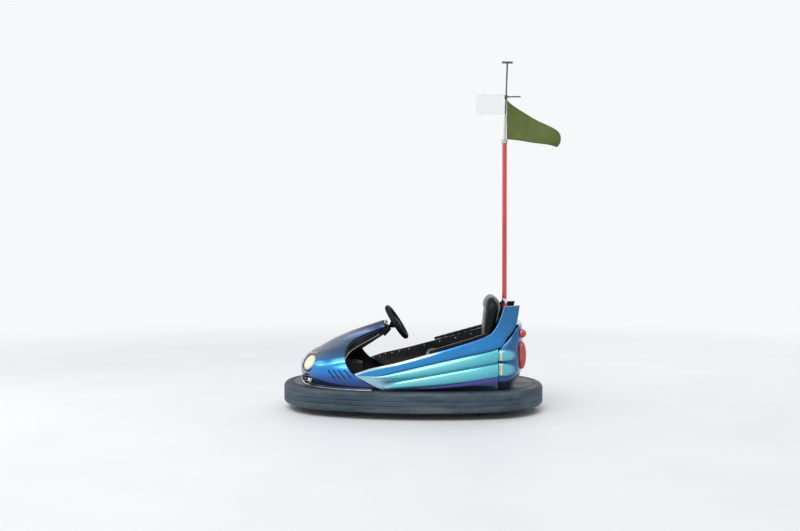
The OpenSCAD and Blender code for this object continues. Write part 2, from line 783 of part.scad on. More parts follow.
// Bright bead that closes the tongue's rear edge above the column
cap_r = 9;
cap_back = 1.8;
cap_edge = nose_grid[nose_steps];
module cowl_cap() {
  color("tan")
    skin([for (j = [5:nose_cols - 5])
      let (p = cap_edge[j], along = unit(cap_edge[j + 1] - cap_edge[j - 1]), up = unit(cross([1, 0, 0], along)))
      [for (a = [0:30:330])
        p + [-cap_r - cap_back, 0, 0] + cap_r * cos(a) * [1, 0, 0] + cap_r * sin(a) * up - 3 * up]]);
}

// Black lip that hangs under the opening's edge on both sides of the column
lip_from = 8;
lip_to = 16;
lip_h = 58;
lip_t = 4;
lip_in = 1;
lip_seat = moulding_inside(nose_grid, shell_t + 0.6);
function lip_place(i, d) =
  let (edge = lip_seat[i][nose_cols], next = lip_seat[i][nose_cols - 1])
  edge + d * unit(next - edge);
function lip_drop(i) = lip_h * sqrt(sin(180 * (i - lip_from + 1) / (lip_to - lip_from + 2)));
function lip_face(d) = [for (low = [1, 0]) [for (i = [lip_from:lip_to]) lip_place(i, d) - [0, 0, low * lip_drop(i)]]];
module cowl_lip() {
  color("black")
    for (m = [0, 1])
      mirror([0, m, 0])
        wall(lip_face(lip_in), lip_face(lip_in + lip_t));
}

// Drive unit: a fork on a king pin, with the motor above the wheel and a gear case down one leg
king_top = 396;
crown_z = 306;
crown_t = 12;
fork_in = 56;
fork_t = 10;
fork_w = 84;
motor_r = 44;
motor_z = 254;
axle_d = 20;
module drive_fork() {
  color("gray")
    translate([drive_x, 0, 0])
      difference() {
        union() {
          translate([0, 0, crown_z]) cylinder(d = king_d, h = king_top - crown_z, $fn = 64);
          translate([-fork_w / 2, -fork_in - fork_t, crown_z]) cube([fork_w, 2 * (fork_in + fork_t), crown_t]);
          for (s = [-1, 1])
            translate([0, s * (fork_in + fork_t / 2), 0]) {
              translate([-fork_w / 2, -fork_t / 2, wheel_r]) cube([fork_w, fork_t, crown_z - wheel_r + 1]);
              translate([0, fork_t / 2, wheel_r]) rotate([90, 0, 0]) cylinder(d = fork_w, h = fork_t, $fn = 64);
            }
          translate([0, fork_in + fork_t + 22, motor_z]) rotate([90, 0, 0]) cylinder(r = 36, h = 23, $fn = 64);
          translate([0, fork_in + fork_t + 22, wheel_r]) rotate([90, 0, 0]) cylinder(r = 36, h = 23, $fn = 64);
          translate([-36, fork_in + fork_t - 1, wheel_r]) cube([72, 23, motor_z - wheel_r]);
        }
        translate([0, fork_in + fork_t + 16, wheel_r]) rotate([90, 0, 0])
          cylinder(d = axle_d + 2 * pin_gap, h = 2 * (fork_in + fork_t) + 40, $fn = 48);
      }
}
module drive_motor() {
  color("dimgray")
    translate([drive_x, fork_in - seat_gap, motor_z])
      rotate([90, 0, 0])
        difference() {
          cylinder(r = motor_r, h = 2 * (fork_in - seat_gap), $fn = 96);
          for (k = [0:8])
            translate([0, 0, 12 + k * 11])
              difference() {
                cylinder(r = motor_r + 5, h = 4, $fn = 96);
                cylinder(r = motor_r - 4, h = 12, center = true, $fn = 96);
              }
        }
}

// Solid rubber tyre with rounded shoulders, on a dished steel hub
tyre_r0 = 62;
shoulder_r = 12;
module tyre() {
  rotate([90, 0, 0])
    rotate_extrude($fn = 120) {
      translate([tyre_r0, -wheel_w / 2]) square([wheel_r - tyre_r0 - shoulder_r, wheel_w]);
      translate([tyre_r0, -wheel_w / 2 + shoulder_r]) square([wheel_r - tyre_r0, wheel_w - 2 * shoulder_r]);
      for (s = [-1, 1])
        translate([wheel_r - shoulder_r, s * (wheel_w / 2 - shoulder_r)]) circle(r = shoulder_r, $fn = 48);
    }
}
module hub(bore, boss_w) {
  rotate([90, 0, 0])
    rotate_extrude($fn = 96)
      polygon([[bore / 2, -boss_w / 2], [bore / 2 + 14, -boss_w / 2], [bore / 2 + 16, -10], [48, -6], [52, -wheel_w / 2 + 1],
               [tyre_r0 - seat_gap, -wheel_w / 2 + 1], [tyre_r0 - seat_gap, wheel_w / 2 - 1], [52, wheel_w / 2 - 1],
               [48, 6], [bore / 2 + 16, 10], [bore / 2 + 14, boss_w / 2], [bore / 2, boss_w / 2]]);
}
module drive_tyre() {
  color("black") translate([drive_x, 0, wheel_r]) tyre();
}
module drive_hub() {
  color("silver")
    translate([drive_x, 0, wheel_r]) {
      hub(axle_d, wheel_w + 20);
      rotate([90, 0, 0]) cylinder(d = axle_d, h = 2 * (fork_in + fork_t) + 24, center = true, $fn = 48);
    }
}

// Rear axle bar hung under the floor plate on four plates
bar_d = 24;
hanger_t = 10;
hanger_gap = 8;
module rear_axle() {
  color("gray")
    translate([-axle_x, 0, wheel_r]) {
      rotate([90, 0, 0])
        cylinder(d = bar_d, h = 2 * (track_y + wheel_w / 2 + hanger_gap + hanger_t), center = true, $fn = 64);
      for (s = [-1, 1])
        for (d = [-1, 1])
          translate([-24, s * track_y + d * (wheel_w / 2 + hanger_gap + hanger_t / 2) - hanger_t / 2, -20])
            cube([48, hanger_t, floor_z - floor_t - wheel_r + 20 - seat_gap]);
    }
}
module rear_wheel_place(side) {
  translate([-axle_x, side * track_y, wheel_r]) children();
}
module rear_tyre_left() {
  color("black") rear_wheel_place(1) tyre();
}
module rear_tyre_right() {
  color("black") rear_wheel_place(-1) tyre();
}
module rear_hub_left() {
  color("silver") rear_wheel_place(1) hub(bar_d + 2 * pin_gap, wheel_w + 4);
}
module rear_hub_right() {
  color("silver") rear_wheel_place(-1) hub(bar_d + 2 * pin_gap, wheel_w + 4);
}

// Mast socket on the floor plate, and the clip that steadies the mast behind the seat
socket_d = 64;
socket_h = 130;
module pole_socket() {
  color("silver")
    translate([-pole_x, 0, floor_z + seat_gap])
      difference() {
        union() {
          cylinder(d = socket_d, h = socket_h, $fn = 64);
          translate([-55, -55, 0]) cube([110, 110, 8]);
        }
        translate([0, 0, 4]) cylinder(d = pole_d + 2 * seat_gap, h = socket_h, $fn = 64);
      }
}
collar_h = 30;
pole_top = mast_top_z - mast_len - collar_h;
module pole() {
  color("red")
    translate([-pole_x, 0, floor_z + seat_gap + 4 + seat_gap])
      cylinder(d = pole_d, h = pole_top - floor_z - 4 - 2 * seat_gap, $fn = 64);
}
// The upper mast leans back a little from its collar
mast_lean = 2;
mast_foot_z = pole_top + collar_h;
sleeve_h = 190;
shoe_h = 12;
module on_mast(z) {
  translate([-pole_x, 0, mast_foot_z])
    rotate([0, -mast_lean, 0])
      translate([0, 0, (z - mast_foot_z) / cos(mast_lean)])
        children();
}
module upper_mast() {
  color("silver") {
    translate([-pole_x, 0, pole_top + seat_gap]) cylinder(d = pole_d + 10, h = collar_h - seat_gap, $fn = 64);
    on_mast(mast_foot_z - 6) cylinder(d = mast_d + 7, h = sleeve_h, $fn = 48);
    on_mast(mast_foot_z + sleeve_h - 10) cylinder(d = mast_d, h = mast_top_z - mast_foot_z - sleeve_h + 6, $fn = 48);
    on_mast(mast_top_z - shoe_h) translate([-40, -11, 0]) cube([80, 22, shoe_h - 1]);
  }
}

// Flag bar clamped beside the mast, with the blank panel on one end and the flag on the other
bar_z = mast_top_z - bar_drop;
flag_bar_d = 10;
flag_bar_y = mast_d / 2 + flag_bar_d / 2 + 3;
bar_ahead = 211;
bar_behind = 118;
clamp_w = 22;
module sign_bar() {
  color("silver")
    difference() {
      union() {
        translate([-pole_x - bar_behind, flag_bar_y, bar_z])
          rotate([0, 90, 0]) cylinder(d = flag_bar_d, h = bar_ahead + bar_behind, $fn = 48);
        on_mast(bar_z) translate([-clamp_w / 2, -mast_d / 2 - 5, -12]) cube([clamp_w, flag_bar_y + mast_d / 2 + 12, 24]);
      }
      on_mast(bar_z) cylinder(d = mast_d + 2 * seat_gap, h = 80, center = true, $fn = 48);
    }
}
sign_t = 3;
sign_over = 24;
module sign_panel() {
  color("white")
    translate([-pole_x + bar_ahead - sign_w + 18, flag_bar_y + flag_bar_d / 2 + seat_gap, bar_z + sign_over - sign_h])
      cube([sign_w - 18, sign_t, sign_h]);
}

// Flag behind the mast: its upper edge falls away and the cloth waves from side to side
flag_len = 400;
flag_t = 3;
flag_cols = 20;
flag_rows = 8;
flag_drop = 205;
flag_gap = 0.8;
flag_top_z = bar_z - 17;
// The hoist reaches from the bar down to the collar
flag_foot_gap = 3;
flag_h = flag_top_z - mast_foot_z - flag_foot_gap;
// The hoist edge follows the back of the mast and its sleeve
function flag_point(u, v) =
  let (z0 = flag_top_z - flag_h * v, lean = (z0 - mast_foot_z) * tan(mast_lean))
  [-pole_x - lerp(mast_d / 2 + 0.6, mast_d / 2 + 9.5, v) - lean - flag_gap - flag_len * u,
   26 * sin(520 * u + 40 * v) * u,
   flag_top_z - flag_drop * pow(u, 0.8) - lerp(flag_h, flag_h * 0.45, u) * v];
flag_grid = [for (i = [0:flag_rows]) [for (j = [0:flag_cols]) flag_point(j / flag_cols, 1 - i / flag_rows)]];
module flag() {
  color("olivedrab") wall(flag_grid, grid_inside(flag_grid, flag_t));
}

// The flag reaches behind the bumper, so the origin lies under the middle of both
mid_x = (-flag_point(1, 0)[0] - half_len) / 2;
module placed() {
  translate([mid_x, 0, 0]) children();
}
placed() chassis_pan();
placed() bumper();
placed() drive_drum();
placed() floor_mat();
placed() nose_cowl();
placed() cowl_trim();
placed() side_panel_left();
placed() side_panel_right();
placed() tail_cowl();
placed() lining_left();
placed() lining_right();
placed() arm_pad_left();
placed() arm_pad_right();
placed() seat_base();
placed() seat_cushion();
placed() seat_back();
placed() headlamps();
placed() lamp_bezels();
placed() nose_grilles();
placed() fog_lamps();
placed() tail_lamps();
placed() side_markers();
placed() steering_column();
placed() column_boot();
placed() column_shroud();
placed() cowl_cap();
placed() cowl_lip();
placed() pedal();
placed() rear_axle();
placed() pole_socket();
placed() pole();
placed() upper_mast();
placed() sign_bar();
placed() sign_panel();
placed() flag();
placed() drive_fork();
placed() drive_motor();
placed() drive_tyre();
placed() drive_hub();
placed() steering_rim();
placed() steering_hub();
placed() rear_tyre_left();
placed() rear_tyre_right();
placed() rear_hub_left();
placed() rear_hub_right();
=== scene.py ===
# Fairground bumper car: its paint, rubber, vinyl, lamps and cloth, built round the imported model.
import math

import bmesh
import bpy
import numpy as np
from mathutils import Matrix, Vector
from mathutils.bvhtree import BVHTree


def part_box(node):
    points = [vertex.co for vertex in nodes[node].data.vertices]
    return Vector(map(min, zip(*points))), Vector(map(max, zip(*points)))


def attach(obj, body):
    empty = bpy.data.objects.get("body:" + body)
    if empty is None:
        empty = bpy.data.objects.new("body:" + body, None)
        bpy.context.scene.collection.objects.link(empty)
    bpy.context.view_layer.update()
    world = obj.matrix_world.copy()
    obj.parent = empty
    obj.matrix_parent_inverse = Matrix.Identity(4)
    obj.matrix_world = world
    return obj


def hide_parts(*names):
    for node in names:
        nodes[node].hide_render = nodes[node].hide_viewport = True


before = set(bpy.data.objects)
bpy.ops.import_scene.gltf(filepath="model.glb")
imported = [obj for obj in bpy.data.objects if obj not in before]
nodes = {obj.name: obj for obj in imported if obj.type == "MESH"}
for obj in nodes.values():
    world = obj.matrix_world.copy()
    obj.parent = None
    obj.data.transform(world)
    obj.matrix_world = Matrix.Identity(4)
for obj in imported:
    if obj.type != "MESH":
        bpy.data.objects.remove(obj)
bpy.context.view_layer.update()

# Camera: a standing lens at 1.14 m, level with the riders, square to the car's left side and a little from behind.
# Its lens suits a frame of 800 by 531, on a sensor 36 mm wide.
bumper_low, bumper_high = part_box("bumper")
ahead = (bumper_low[0] + bumper_high[0]) / 2
camera_data = bpy.data.cameras.new("camera")
camera_data.sensor_width = 36
camera_data.lens = 37.1
camera_data.clip_end = 900
camera = bpy.data.objects.new("camera", camera_data)
bpy.context.scene.collection.objects.link(camera)
bpy.context.scene.camera = camera
yaw, pitch = math.radians(4.5), math.radians(-0.59)
looking = Vector((math.sin(yaw) * math.cos(pitch), -math.cos(yaw) * math.cos(pitch), math.sin(pitch)))
camera.location = (ahead - 0.396, 6.238, 1.136)
camera.rotation_euler = looking.to_track_quat("-Z", "Y").to_euler()

# Studio: a pale floor in a pale room, lit by an even sky and three large soft boxes. The eye, mirrors and
# glass see the room's near white; everything else is lit by its dimmer, cooler light.
scene = bpy.context.scene
scene.view_settings.view_transform = "Standard"
room_white = (0.93, 0.94, 0.95)
seen_rays = ("Camera", "Glossy", "Transmission")
world = bpy.data.worlds.new("room")
scene.world = world
world.use_nodes = True
room = world.node_tree.nodes
room_link = world.node_tree.links.new
room.clear()
room_out = room.new("ShaderNodeOutputWorld")
room_mix = room.new("ShaderNodeMixShader")
room_rays = room.new("ShaderNodeLightPath")
for number, (colour, strength) in enumerate((((0.9, 0.94, 1.0), 0.58), (room_white, 1.0)), 1):
    background = room.new("ShaderNodeBackground")
    background.inputs["Color"].default_value = colour + (1,)
    background.inputs["Strength"].default_value = strength
    room_link(background.outputs[0], room_mix.inputs[number])
seen_by = [room_rays.outputs["Is %s Ray" % ray] for ray in seen_rays]
for ray in seen_by[1:]:
    either = room.new("ShaderNodeMath")
    either.operation = "MAXIMUM"
    room_link(seen_by[0], either.inputs[0])
    room_link(ray, either.inputs[1])
    seen_by[0] = either.outputs[0]
room_link(seen_by[0], room_mix.inputs["Fac"])
room_link(room_mix.outputs[0], room_out.inputs["Surface"])


def soft_box(name, place, size, power, target, colour=(1, 1, 1)):
    """Rectangular lamp at a place, turned to a target."""
    data = bpy.data.lights.new(name, "AREA")
    data.shape = "RECTANGLE"
    data.size, data.size_y = size
    data.energy = power
    data.color = colour
    lamp = bpy.data.objects.new(name, data)
    scene.collection.objects.link(lamp)
    lamp.location = place
    lamp.rotation_euler = (Vector(target) - Vector(place)).to_track_quat("-Z", "Y").to_euler()


soft_box("key_box", (2.2, 4.2, 4.6), (3.2, 2.2), 70, (0.1, 0, 0.5))
soft_box("back_box", (-3.2, -3.6, 4.2), (3.0, 2.4), 50, (0, 0, 0.8), (0.93, 0.96, 1.0))
soft_box("nose_box", (4.6, 0.6, 2.6), (2.0, 2.0), 25, (0.5, 0, 0.4))
sky_data = bpy.data.lights.new("soft_sky", "SUN")
sky_data.energy = 1.1
sky_data.angle = math.radians(40)
sky = bpy.data.objects.new("soft_sky", sky_data)
scene.collection.objects.link(sky)
sky.rotation_euler = (math.radians(-28), math.radians(14), 0)

floor_data = bpy.data.meshes.new("floor")
floor_data.from_pydata([(-400, -400, 0), (400, -400, 0), (400, 400, 0), (-400, 400, 0)], [], [(0, 1, 2, 3)])
floor = bpy.data.objects.new("floor", floor_data)
scene.collection.objects.link(floor)
floor.location.z = -0.0005


# Finishes are written as sums on shader sockets, so a coat of paint or a sheet of rubber reads as one recipe.
# The first ones are the plain ones: the floor, and the steel, castings and aluminium under the car.
class Value:
    """A shader socket on which Python's own operators work: each one adds a Math node."""

    def __init__(self, finish, socket):
        self.finish, self.socket = finish, socket

    def math(self, operation, *others):
        return self.finish.add("ShaderNodeMath", {"operation": operation}, dict(enumerate((self,) + others)))

    def __add__(self, other):
        return self.math("ADD", other)

    def __sub__(self, other):
        return self.math("SUBTRACT", other)

    def __rsub__(self, other):
        return self.finish.add("ShaderNodeMath", {"operation": "SUBTRACT"}, {0: other, 1: self})

    def __mul__(self, other):
        return self.math("MULTIPLY", other)

    __radd__ = __add__
    __rmul__ = __mul__

    def rise(self, low, high):
        """0 below low and 1 above high, with a soft step between them."""
        ends = {"From Min": low, "From Max": high, "To Min": 0.0, "To Max": 1.0}
        return self.finish.add("ShaderNodeMapRange", {"interpolation_type": "SMOOTHSTEP"}, {"Value": self, **ends})

    def near(self, middle, width):
        """1 at the middle, falling to 0 a width away."""
        return 1.0 - (self - middle).math("ABSOLUTE").rise(0.0, width)

    def wave(self, turns):
        """Sine of the value times a number of full turns, from -1 to 1."""
        return (self * (2 * math.pi * turns)).math("SINE")


class Finish:
    """A material with one Principled shader; constants go straight on the shader's own sockets."""

    def __init__(self, name, **constants):
        self.material = bpy.data.materials.new(name)
        self.material.use_nodes = True
        self.tree = self.material.node_tree
        self.tree.nodes.clear()
        self.shader = self.tree.nodes.new("ShaderNodeBsdfPrincipled")
        self.out = self.tree.nodes.new("ShaderNodeOutputMaterial")
        self.tree.links.new(self.shader.outputs[0], self.out.inputs["Surface"])
        for key, value in constants.items():
            if isinstance(value, tuple):
                value = value + (1,)
            self.shader.inputs[key.replace("_", " ")].default_value = value

    def add(self, kind, settings=None, inputs=None, output=0):
        """A node of a kind: its settings first, then the values or links of its sockets."""
        node = self.tree.nodes.new(kind)
        for key, value in (settings or {}).items():
            if key == "stops":
                band = node.color_ramp.elements
                while len(band) < len(value):
                    band.new(0.5)
                for element, (place, colour) in zip(band, value):
                    element.position, element.color = place, tuple(colour) + (1,)
            else:
                setattr(node, key, value)
        for key, value in (inputs or {}).items():
            if isinstance(value, Value):
                self.tree.links.new(value.socket, node.inputs[key])
            elif isinstance(value, tuple) and len(value) == 3 and node.inputs[key].type == "RGBA":
                node.inputs[key].default_value = value + (1,)
            else:
                node.inputs[key].default_value = value
        return Value(self, node.outputs[output])

    def place(self):
        return self.add("ShaderNodeTexCoord", output="Object")

    def axis(self, letter):
        return self.add("ShaderNodeSeparateXYZ", None, {"Vector": self.place()}, letter)

    def field(self, name):
        """A number kept on the mesh's points under this name."""
        return self.add("ShaderNodeAttribute", {"attribute_name": name}, None, "Fac")

    def noise(self, scale, detail=4.0, roughness=0.55, stretch=(1, 1, 1), distortion=0.0):
        vector = self.add("ShaderNodeMapping", None, {"Vector": self.place(), "Scale": stretch})
        sizes = {"Scale": scale, "Detail": detail, "Roughness": roughness, "Distortion": distortion}
        return self.add("ShaderNodeTexNoise", None, {"Vector": vector, **sizes})

    def cells(self, scale):
        return self.add("ShaderNodeTexVoronoi", None, {"Vector": self.place(), "Scale": scale})

    def ramp(self, value, *stops):
        return self.add("ShaderNodeValToRGB", {"stops": stops}, {"Fac": value})

    def blend(self, share, first, second):
        """The first colour where the share is 0 and the second where it is 1."""
        inputs = {0: share, 6: first, 7: second}
        return self.add("ShaderNodeMix", {"data_type": "RGBA"}, inputs, 2)

    def wire(self, key, value):
        self.tree.links.new(value.socket, self.shader.inputs[key])

    def bump(self, height, strength, distance=0.001):
        inputs = {"Height": height, "Strength": strength, "Distance": distance}
        self.wire("Normal", self.add("ShaderNodeBump", None, inputs))


def wear(finish, colour, dark, light, grain=30.0, rough=(0.3, 0.5), bump=0.1):
    """Broad dirt towards the dark colour, fine scuffs towards the light one, and a roughness that follows both."""
    dirt = finish.noise(5.0, 5.0).rise(0.45, 0.75)
    scuff = finish.noise(grain, 6.0, 0.7).rise(0.58, 0.74)
    base = finish.blend(dirt * 0.6, colour, dark)
    finish.wire("Base Color", finish.blend(scuff * 0.5, base, light))
    finish.wire("Roughness", rough[0] + (rough[1] - rough[0]) * dirt + 0.12 * scuff)
    finish.bump(finish.noise(grain * 6, 3.0), bump)
    return finish


def coat(finish, *names):
    """Puts a finish on whole CAD nodes."""
    for name in names:
        for index in range(max(1, len(nodes[name].data.materials))):
            if nodes[name].data.materials:
                nodes[name].data.materials[index] = finish.material
            else:
                nodes[name].data.materials.append(finish.material)


floor_finish = Finish("pale_floor", Roughness=0.55, Specular_IOR_Level=0.25)
shade = floor_finish.noise(1.2, 3.0).rise(0.2, 0.8)
floor_finish.wire("Base Color", floor_finish.blend(shade, (0.8, 0.8, 0.8), (0.84, 0.84, 0.835)))
# Far from the car the floor takes the room's own white, so that no horizon shows; the shadow stays near it.
distance = floor_finish.add("ShaderNodeVectorMath", {"operation": "LENGTH"}, {0: floor_finish.place()}, "Value")
seen = [floor_finish.add("ShaderNodeLightPath", output="Is %s Ray" % ray) for ray in seen_rays]
fade_share = distance.rise(2.6, 9.0) * seen[0].math("MAXIMUM", seen[1]).math("MAXIMUM", seen[2])
white = floor_finish.add("ShaderNodeEmission", None, {"Color": room_white, "Strength": 1.0})
own = Value(floor_finish, floor_finish.shader.outputs[0])
fade = floor_finish.add("ShaderNodeMixShader", None, {"Fac": fade_share, 1: own, 2: white})
floor_finish.tree.links.new(fade.socket, floor_finish.out.inputs["Surface"])
floor_data.materials.append(floor_finish.material)

# Each row: name, metal, colour, dirt, scuff, grain, span of roughness, bump, and the CAD nodes that wear it
plain_coats = [
    ("frame_paint", 0.2, (0.06, 0.063, 0.07), (0.03, 0.026, 0.022), (0.17, 0.16, 0.15), 40, (0.42, 0.62), 0.25,
     ("chassis_pan", "rear_axle", "drive_drum", "seat_base")),
    ("motor_casting", 0.3, (0.1, 0.105, 0.11), (0.03, 0.028, 0.025), (0.22, 0.21, 0.2), 60, (0.5, 0.75), 0.5,
     ("drive_fork", "drive_motor")),
    ("hub_steel", 0.9, (0.5, 0.51, 0.53), (0.12, 0.1, 0.085), (0.72, 0.72, 0.73), 90, (0.3, 0.5), 0.15,
     ("drive_hub", "rear_hub_left", "rear_hub_right")),
    ("tyre_rubber", 0.0, (0.018, 0.018, 0.019), (0.045, 0.042, 0.038), (0.09, 0.088, 0.085), 70, (0.7, 0.9), 0.6,
     ("drive_tyre", "rear_tyre_left", "rear_tyre_right")),
    ("bright_trim", 1.0, (0.62, 0.63, 0.65), (0.3, 0.29, 0.28), (0.82, 0.82, 0.83), 120, (0.25, 0.4), 0.1,
     ("pole_socket",)),
]
plain = {}
for name, metal, *recipe, wearers in plain_coats:
    plain[name] = wear(Finish(name, Metallic=metal), *recipe)
    coat(plain[name], *wearers)

# Bumper: a thick moulded rubber ring round the whole car with three grooves in its side, blue-grey and
# dulled by knocks. It is clamped round the chassis rail, so its plan is four arcs that meet smoothly.
mm = 0.001
half_len, half_wid, end_r = 975.0, 570.0, 500.0
side_r = ((half_len - end_r) ** 2 + half_wid**2 - end_r**2) / (2 * (half_wid - end_r))
join_angle = math.atan2(side_r - half_wid, half_len - end_r)


def oval_plan(inset, end_steps=40, side_steps=70):
    """Closed plan of the ring, moved in by an inset: an end arc from the nose to where it meets the side arc,
    then the side arc to the middle, mirrored into all four quarters. Gives x and y for each inset."""
    inset = np.atleast_1d(inset)[:, None]
    a = np.linspace(0, join_angle, end_steps)
    b = np.linspace(join_angle, math.pi / 2, side_steps)[1:]
    x = np.hstack([half_len - end_r + (end_r - inset) * np.cos(a), (side_r - inset) * np.cos(b)])
    y = np.hstack([(end_r - inset) * np.sin(a), half_wid - side_r + (side_r - inset) * np.sin(b)])
    x = np.hstack([x, -x[:, -2::-1], -x[:, 1:], x[:, -2:0:-1]])
    y = np.hstack([y, y[:, -2::-1], -y[:, 1:], -y[:, -2:0:-1]])
    return x, y


def grid_faces(rows, cols, close_rows=False, close_cols=False):
    """Four corners of every cell of a grid; a closed direction joins its last line to its first."""
    i = np.arange(rows if close_rows else rows - 1)
    j = np.arange(cols if close_cols else cols - 1)
    i, j = (g.ravel() for g in np.meshgrid(i, j, indexing="ij"))
    below, right = (i + 1) % rows, (j + 1) % cols
    return np.stack([i * cols + j, i * cols + right, below * cols + right, below * cols + j], -1)


def make_piece(name, points, faces, finish, body="chassis", fields=None, stands_for=(), slot=None):
    """Mesh object from points in millimetres about the car's middle. Its faces are turned outwards by the sign
    of the volume they close, points that coincide are welded, and it rides on its body."""
    points = np.asarray(points, float).reshape(-1, 3) * mm + np.array([ahead, 0, 0])
    quads = np.asarray(faces)
    centre = points.mean(0)
    a, b, c, d = (points[quads[:, k]] - centre for k in range(4))
    volume = (np.einsum("ij,ij->i", a, np.cross(b, c)) + np.einsum("ij,ij->i", a, np.cross(c, d))).sum()
    if volume < 0:
        quads = quads[:, ::-1]
    mesh = bpy.data.meshes.new(name)
    mesh.from_pydata(points.tolist(), [], quads.tolist())
    for key, values in (fields or {}).items():
        layer = mesh.attributes.new(key, "FLOAT", "POINT")
        layer.data.foreach_set("value", np.asarray(values, np.float32).ravel())
    work = bmesh.new()
    work.from_mesh(mesh)
    bmesh.ops.remove_doubles(work, verts=work.verts, dist=1e-6)
    bmesh.ops.dissolve_degenerate(work, dist=1e-7, edges=work.edges)
    work.to_mesh(mesh)
    work.free()
    mesh.polygons.foreach_set("use_smooth", np.ones(len(mesh.polygons), bool))
    mesh.materials.append(finish.material)
    piece = bpy.data.objects.new(name, mesh)
    scene.collection.objects.link(piece)
    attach(piece, body)
    if stands_for:
        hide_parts(*stands_for)
    return piece


def set_in(points, matrix):
    """Points of a shape drawn about Z, put where the matrix says."""
    matrix = np.array(matrix)
    return np.asarray(points) @ matrix[:3, :3].T + matrix[:3, 3]


def make_grid(name, grid, finish, seat=None, close_rows=False, close_cols=True, **more):
    """A piece from a grid of points, set in its seat where it has one."""
    spots = grid.reshape(-1, 3) if seat is None else set_in(grid.reshape(-1, 3), seat)
    return make_piece(name, spots, grid_faces(*grid.shape[:2], close_rows, close_cols), finish, **more)


def full_turn(steps):
    """Angles of a full turn, without its last, which is the first again."""
    return np.linspace(0, 2 * math.pi, steps, endpoint=False)


def bumper_section():
    """Section of the ring, from the inner foot up and over: flat top, a quarter round, the side with three
    shallow V grooves whose lips are eased, and a smaller quarter round below."""
    width, height, round_top, round_foot, depth, half = 72.0, 150.0, 34.0, 24.0, 5.0, 7.0
    a = np.linspace(90, 0, 14) * math.pi / 180
    top_in, top_up = round_top * (np.cos(a) - 1), height + round_top * (np.sin(a) - 1)
    z = np.linspace(height - round_top, round_foot, 60)[1:-1]
    dip = sum(np.maximum(0, 1 - np.abs(z - share * height) / half) ** 1.3 for share in (0.78, 0.55, 0.32))
    b = np.linspace(0, -90, 12) * math.pi / 180
    foot_in, foot_up = round_foot * (np.cos(b) - 1), round_foot * (1 + np.sin(b))
    flat = np.linspace(-width + 6, -round_top - 2, 6)
    inward = np.concatenate([[-width, -width], [-width + 1.5], flat, top_in, -depth * dip, foot_in, [-width]])
    up = np.concatenate([[0, height - 5], [height - 1.5], flat * 0 + height, top_up, z, foot_up, [0]])
    return -inward, up


inset, up = bumper_section()
ring_x, ring_y = oval_plan(inset)
ring = np.stack([ring_x, ring_y, np.broadcast_to((50 + up)[:, None], ring_x.shape)], -1)
bumper_rubber = Finish("bumper_rubber", Specular_IOR_Level=0.35)
height_up = bumper_rubber.axis("Z")
along = bumper_rubber.axis("X")
tone = bumper_rubber.noise(3.0, 4.0, 0.6, (1, 1, 5))
rubber = bumper_rubber.ramp(
    tone, (0.35, (0.026, 0.044, 0.062)), (0.5, (0.052, 0.08, 0.104)), (0.68, (0.092, 0.124, 0.15)))
on_top = height_up.rise(0.186, 0.199)
speckle = bumper_rubber.noise(95.0, 5.0, 0.75).rise(0.52, 0.66) * on_top
smear = bumper_rubber.noise(14.0, 6.0, 0.65, (1, 1, 9)).rise(0.56, 0.7)
rear_rim = on_top * (0.0 - along).rise(0.4, 0.95) * bumper_rubber.noise(7.0, 6.0, 0.7).rise(0.35, 0.75)
dark_top = bumper_rubber.blend(on_top * 0.9, rubber, (0.022, 0.024, 0.028))
scuffed = bumper_rubber.blend(speckle * 0.8, dark_top, (0.21, 0.22, 0.235))
smeared = bumper_rubber.blend(smear * 0.45, scuffed, (0.155, 0.175, 0.2))
bumper_rubber.wire("Base Color", bumper_rubber.blend(rear_rim * 0.5, smeared, (0.42, 0.44, 0.46)))
bumper_rubber.wire("Roughness", 0.5 + 0.25 * tone + 0.1 * smear)
bumper_rubber.bump(bumper_rubber.noise(160.0, 4.0) + 2.0 * speckle + 0.7 * smear, 0.35, 0.0012)
make_grid("bumper_ring", ring, bumper_rubber, stands_for=["bumper"], slot="bumper_rubber")

# Nose: one glass-fibre moulding in colour-shift metallic paint, laid up in a mould from the deck to the thin tongue
# over the steering column. It runs from indigo at the foot through bright blue to dark violet: partly the paint's
# own shift, partly painted shade at the foot and painted dark reflection on the hood and above the shoulder.
body_foot = 200.3


def body_half_width(x, z):
    """Half width of the painted body: 545 mm at the waist, less what it tapers towards both ends, less what the
    sides lean in above the waist and tuck under below it."""
    lean = 300 * (np.maximum(0, z - 330) / 1000) ** 1.35
    tuck = 1600 * (np.maximum(0, 330 - z) / 1000) ** 2
    return 545 - 220 * (np.abs(x) / 1000) ** 2.4 - lean - tuck


def through_rows(table, t):
    """Rows of a table at the fractional places t, on the cubic that passes through every row."""
    table = np.asarray(table, float)
    last = len(table) - 1
    i = np.minimum(np.floor(t).astype(int), last - 1)
    f = (np.asarray(t) - i)[:, None]
    a, b, c, d = (table[np.clip(i + k, 0, last)] for k in (-1, 0, 1, 2))
    return 0.5 * (2 * b + (c - a) * f + (2 * a - 5 * b + 4 * c - d) * f**2 + (3 * b - a - 3 * c + d) * f**3)


def squared_arc(angle, squareness):
    """Sine and cosine raised to 2 over the squareness, so that 2 is an ellipse and 3 has fuller corners."""
    power = 2 / squareness
    c = np.maximum(np.cos(angle), 0) ** power
    s = np.abs(np.sin(angle)) ** power * np.sign(np.sin(angle))
    return c, s


# Columns: rear end x, its half width as a share of the body's, rear z, tip x, tip z, squareness of the plan
nose_rows = [
    [182, 0.985, body_foot, 812, body_foot, 2.3],
    [281, 1.0, 250, 830, 250, 2.3],
    [366, 1.0, 300, 838, 300, 2.3],
    [428, 0.985, 362, 834, 347, 2.3],
    [454, 0.93, 430, 812, 386, 2.3],
    [452, 0.76, 484, 768, 420, 2.2],
    [418, 0.56, 528, 700, 455, 2.1],
    [310, 0.35, 582, 592, 516, 2.1],
    [236, 0.205, 604, 440, 580, 2.1],
    [200, 0.165, 613, 222, 655, 2.1],
]


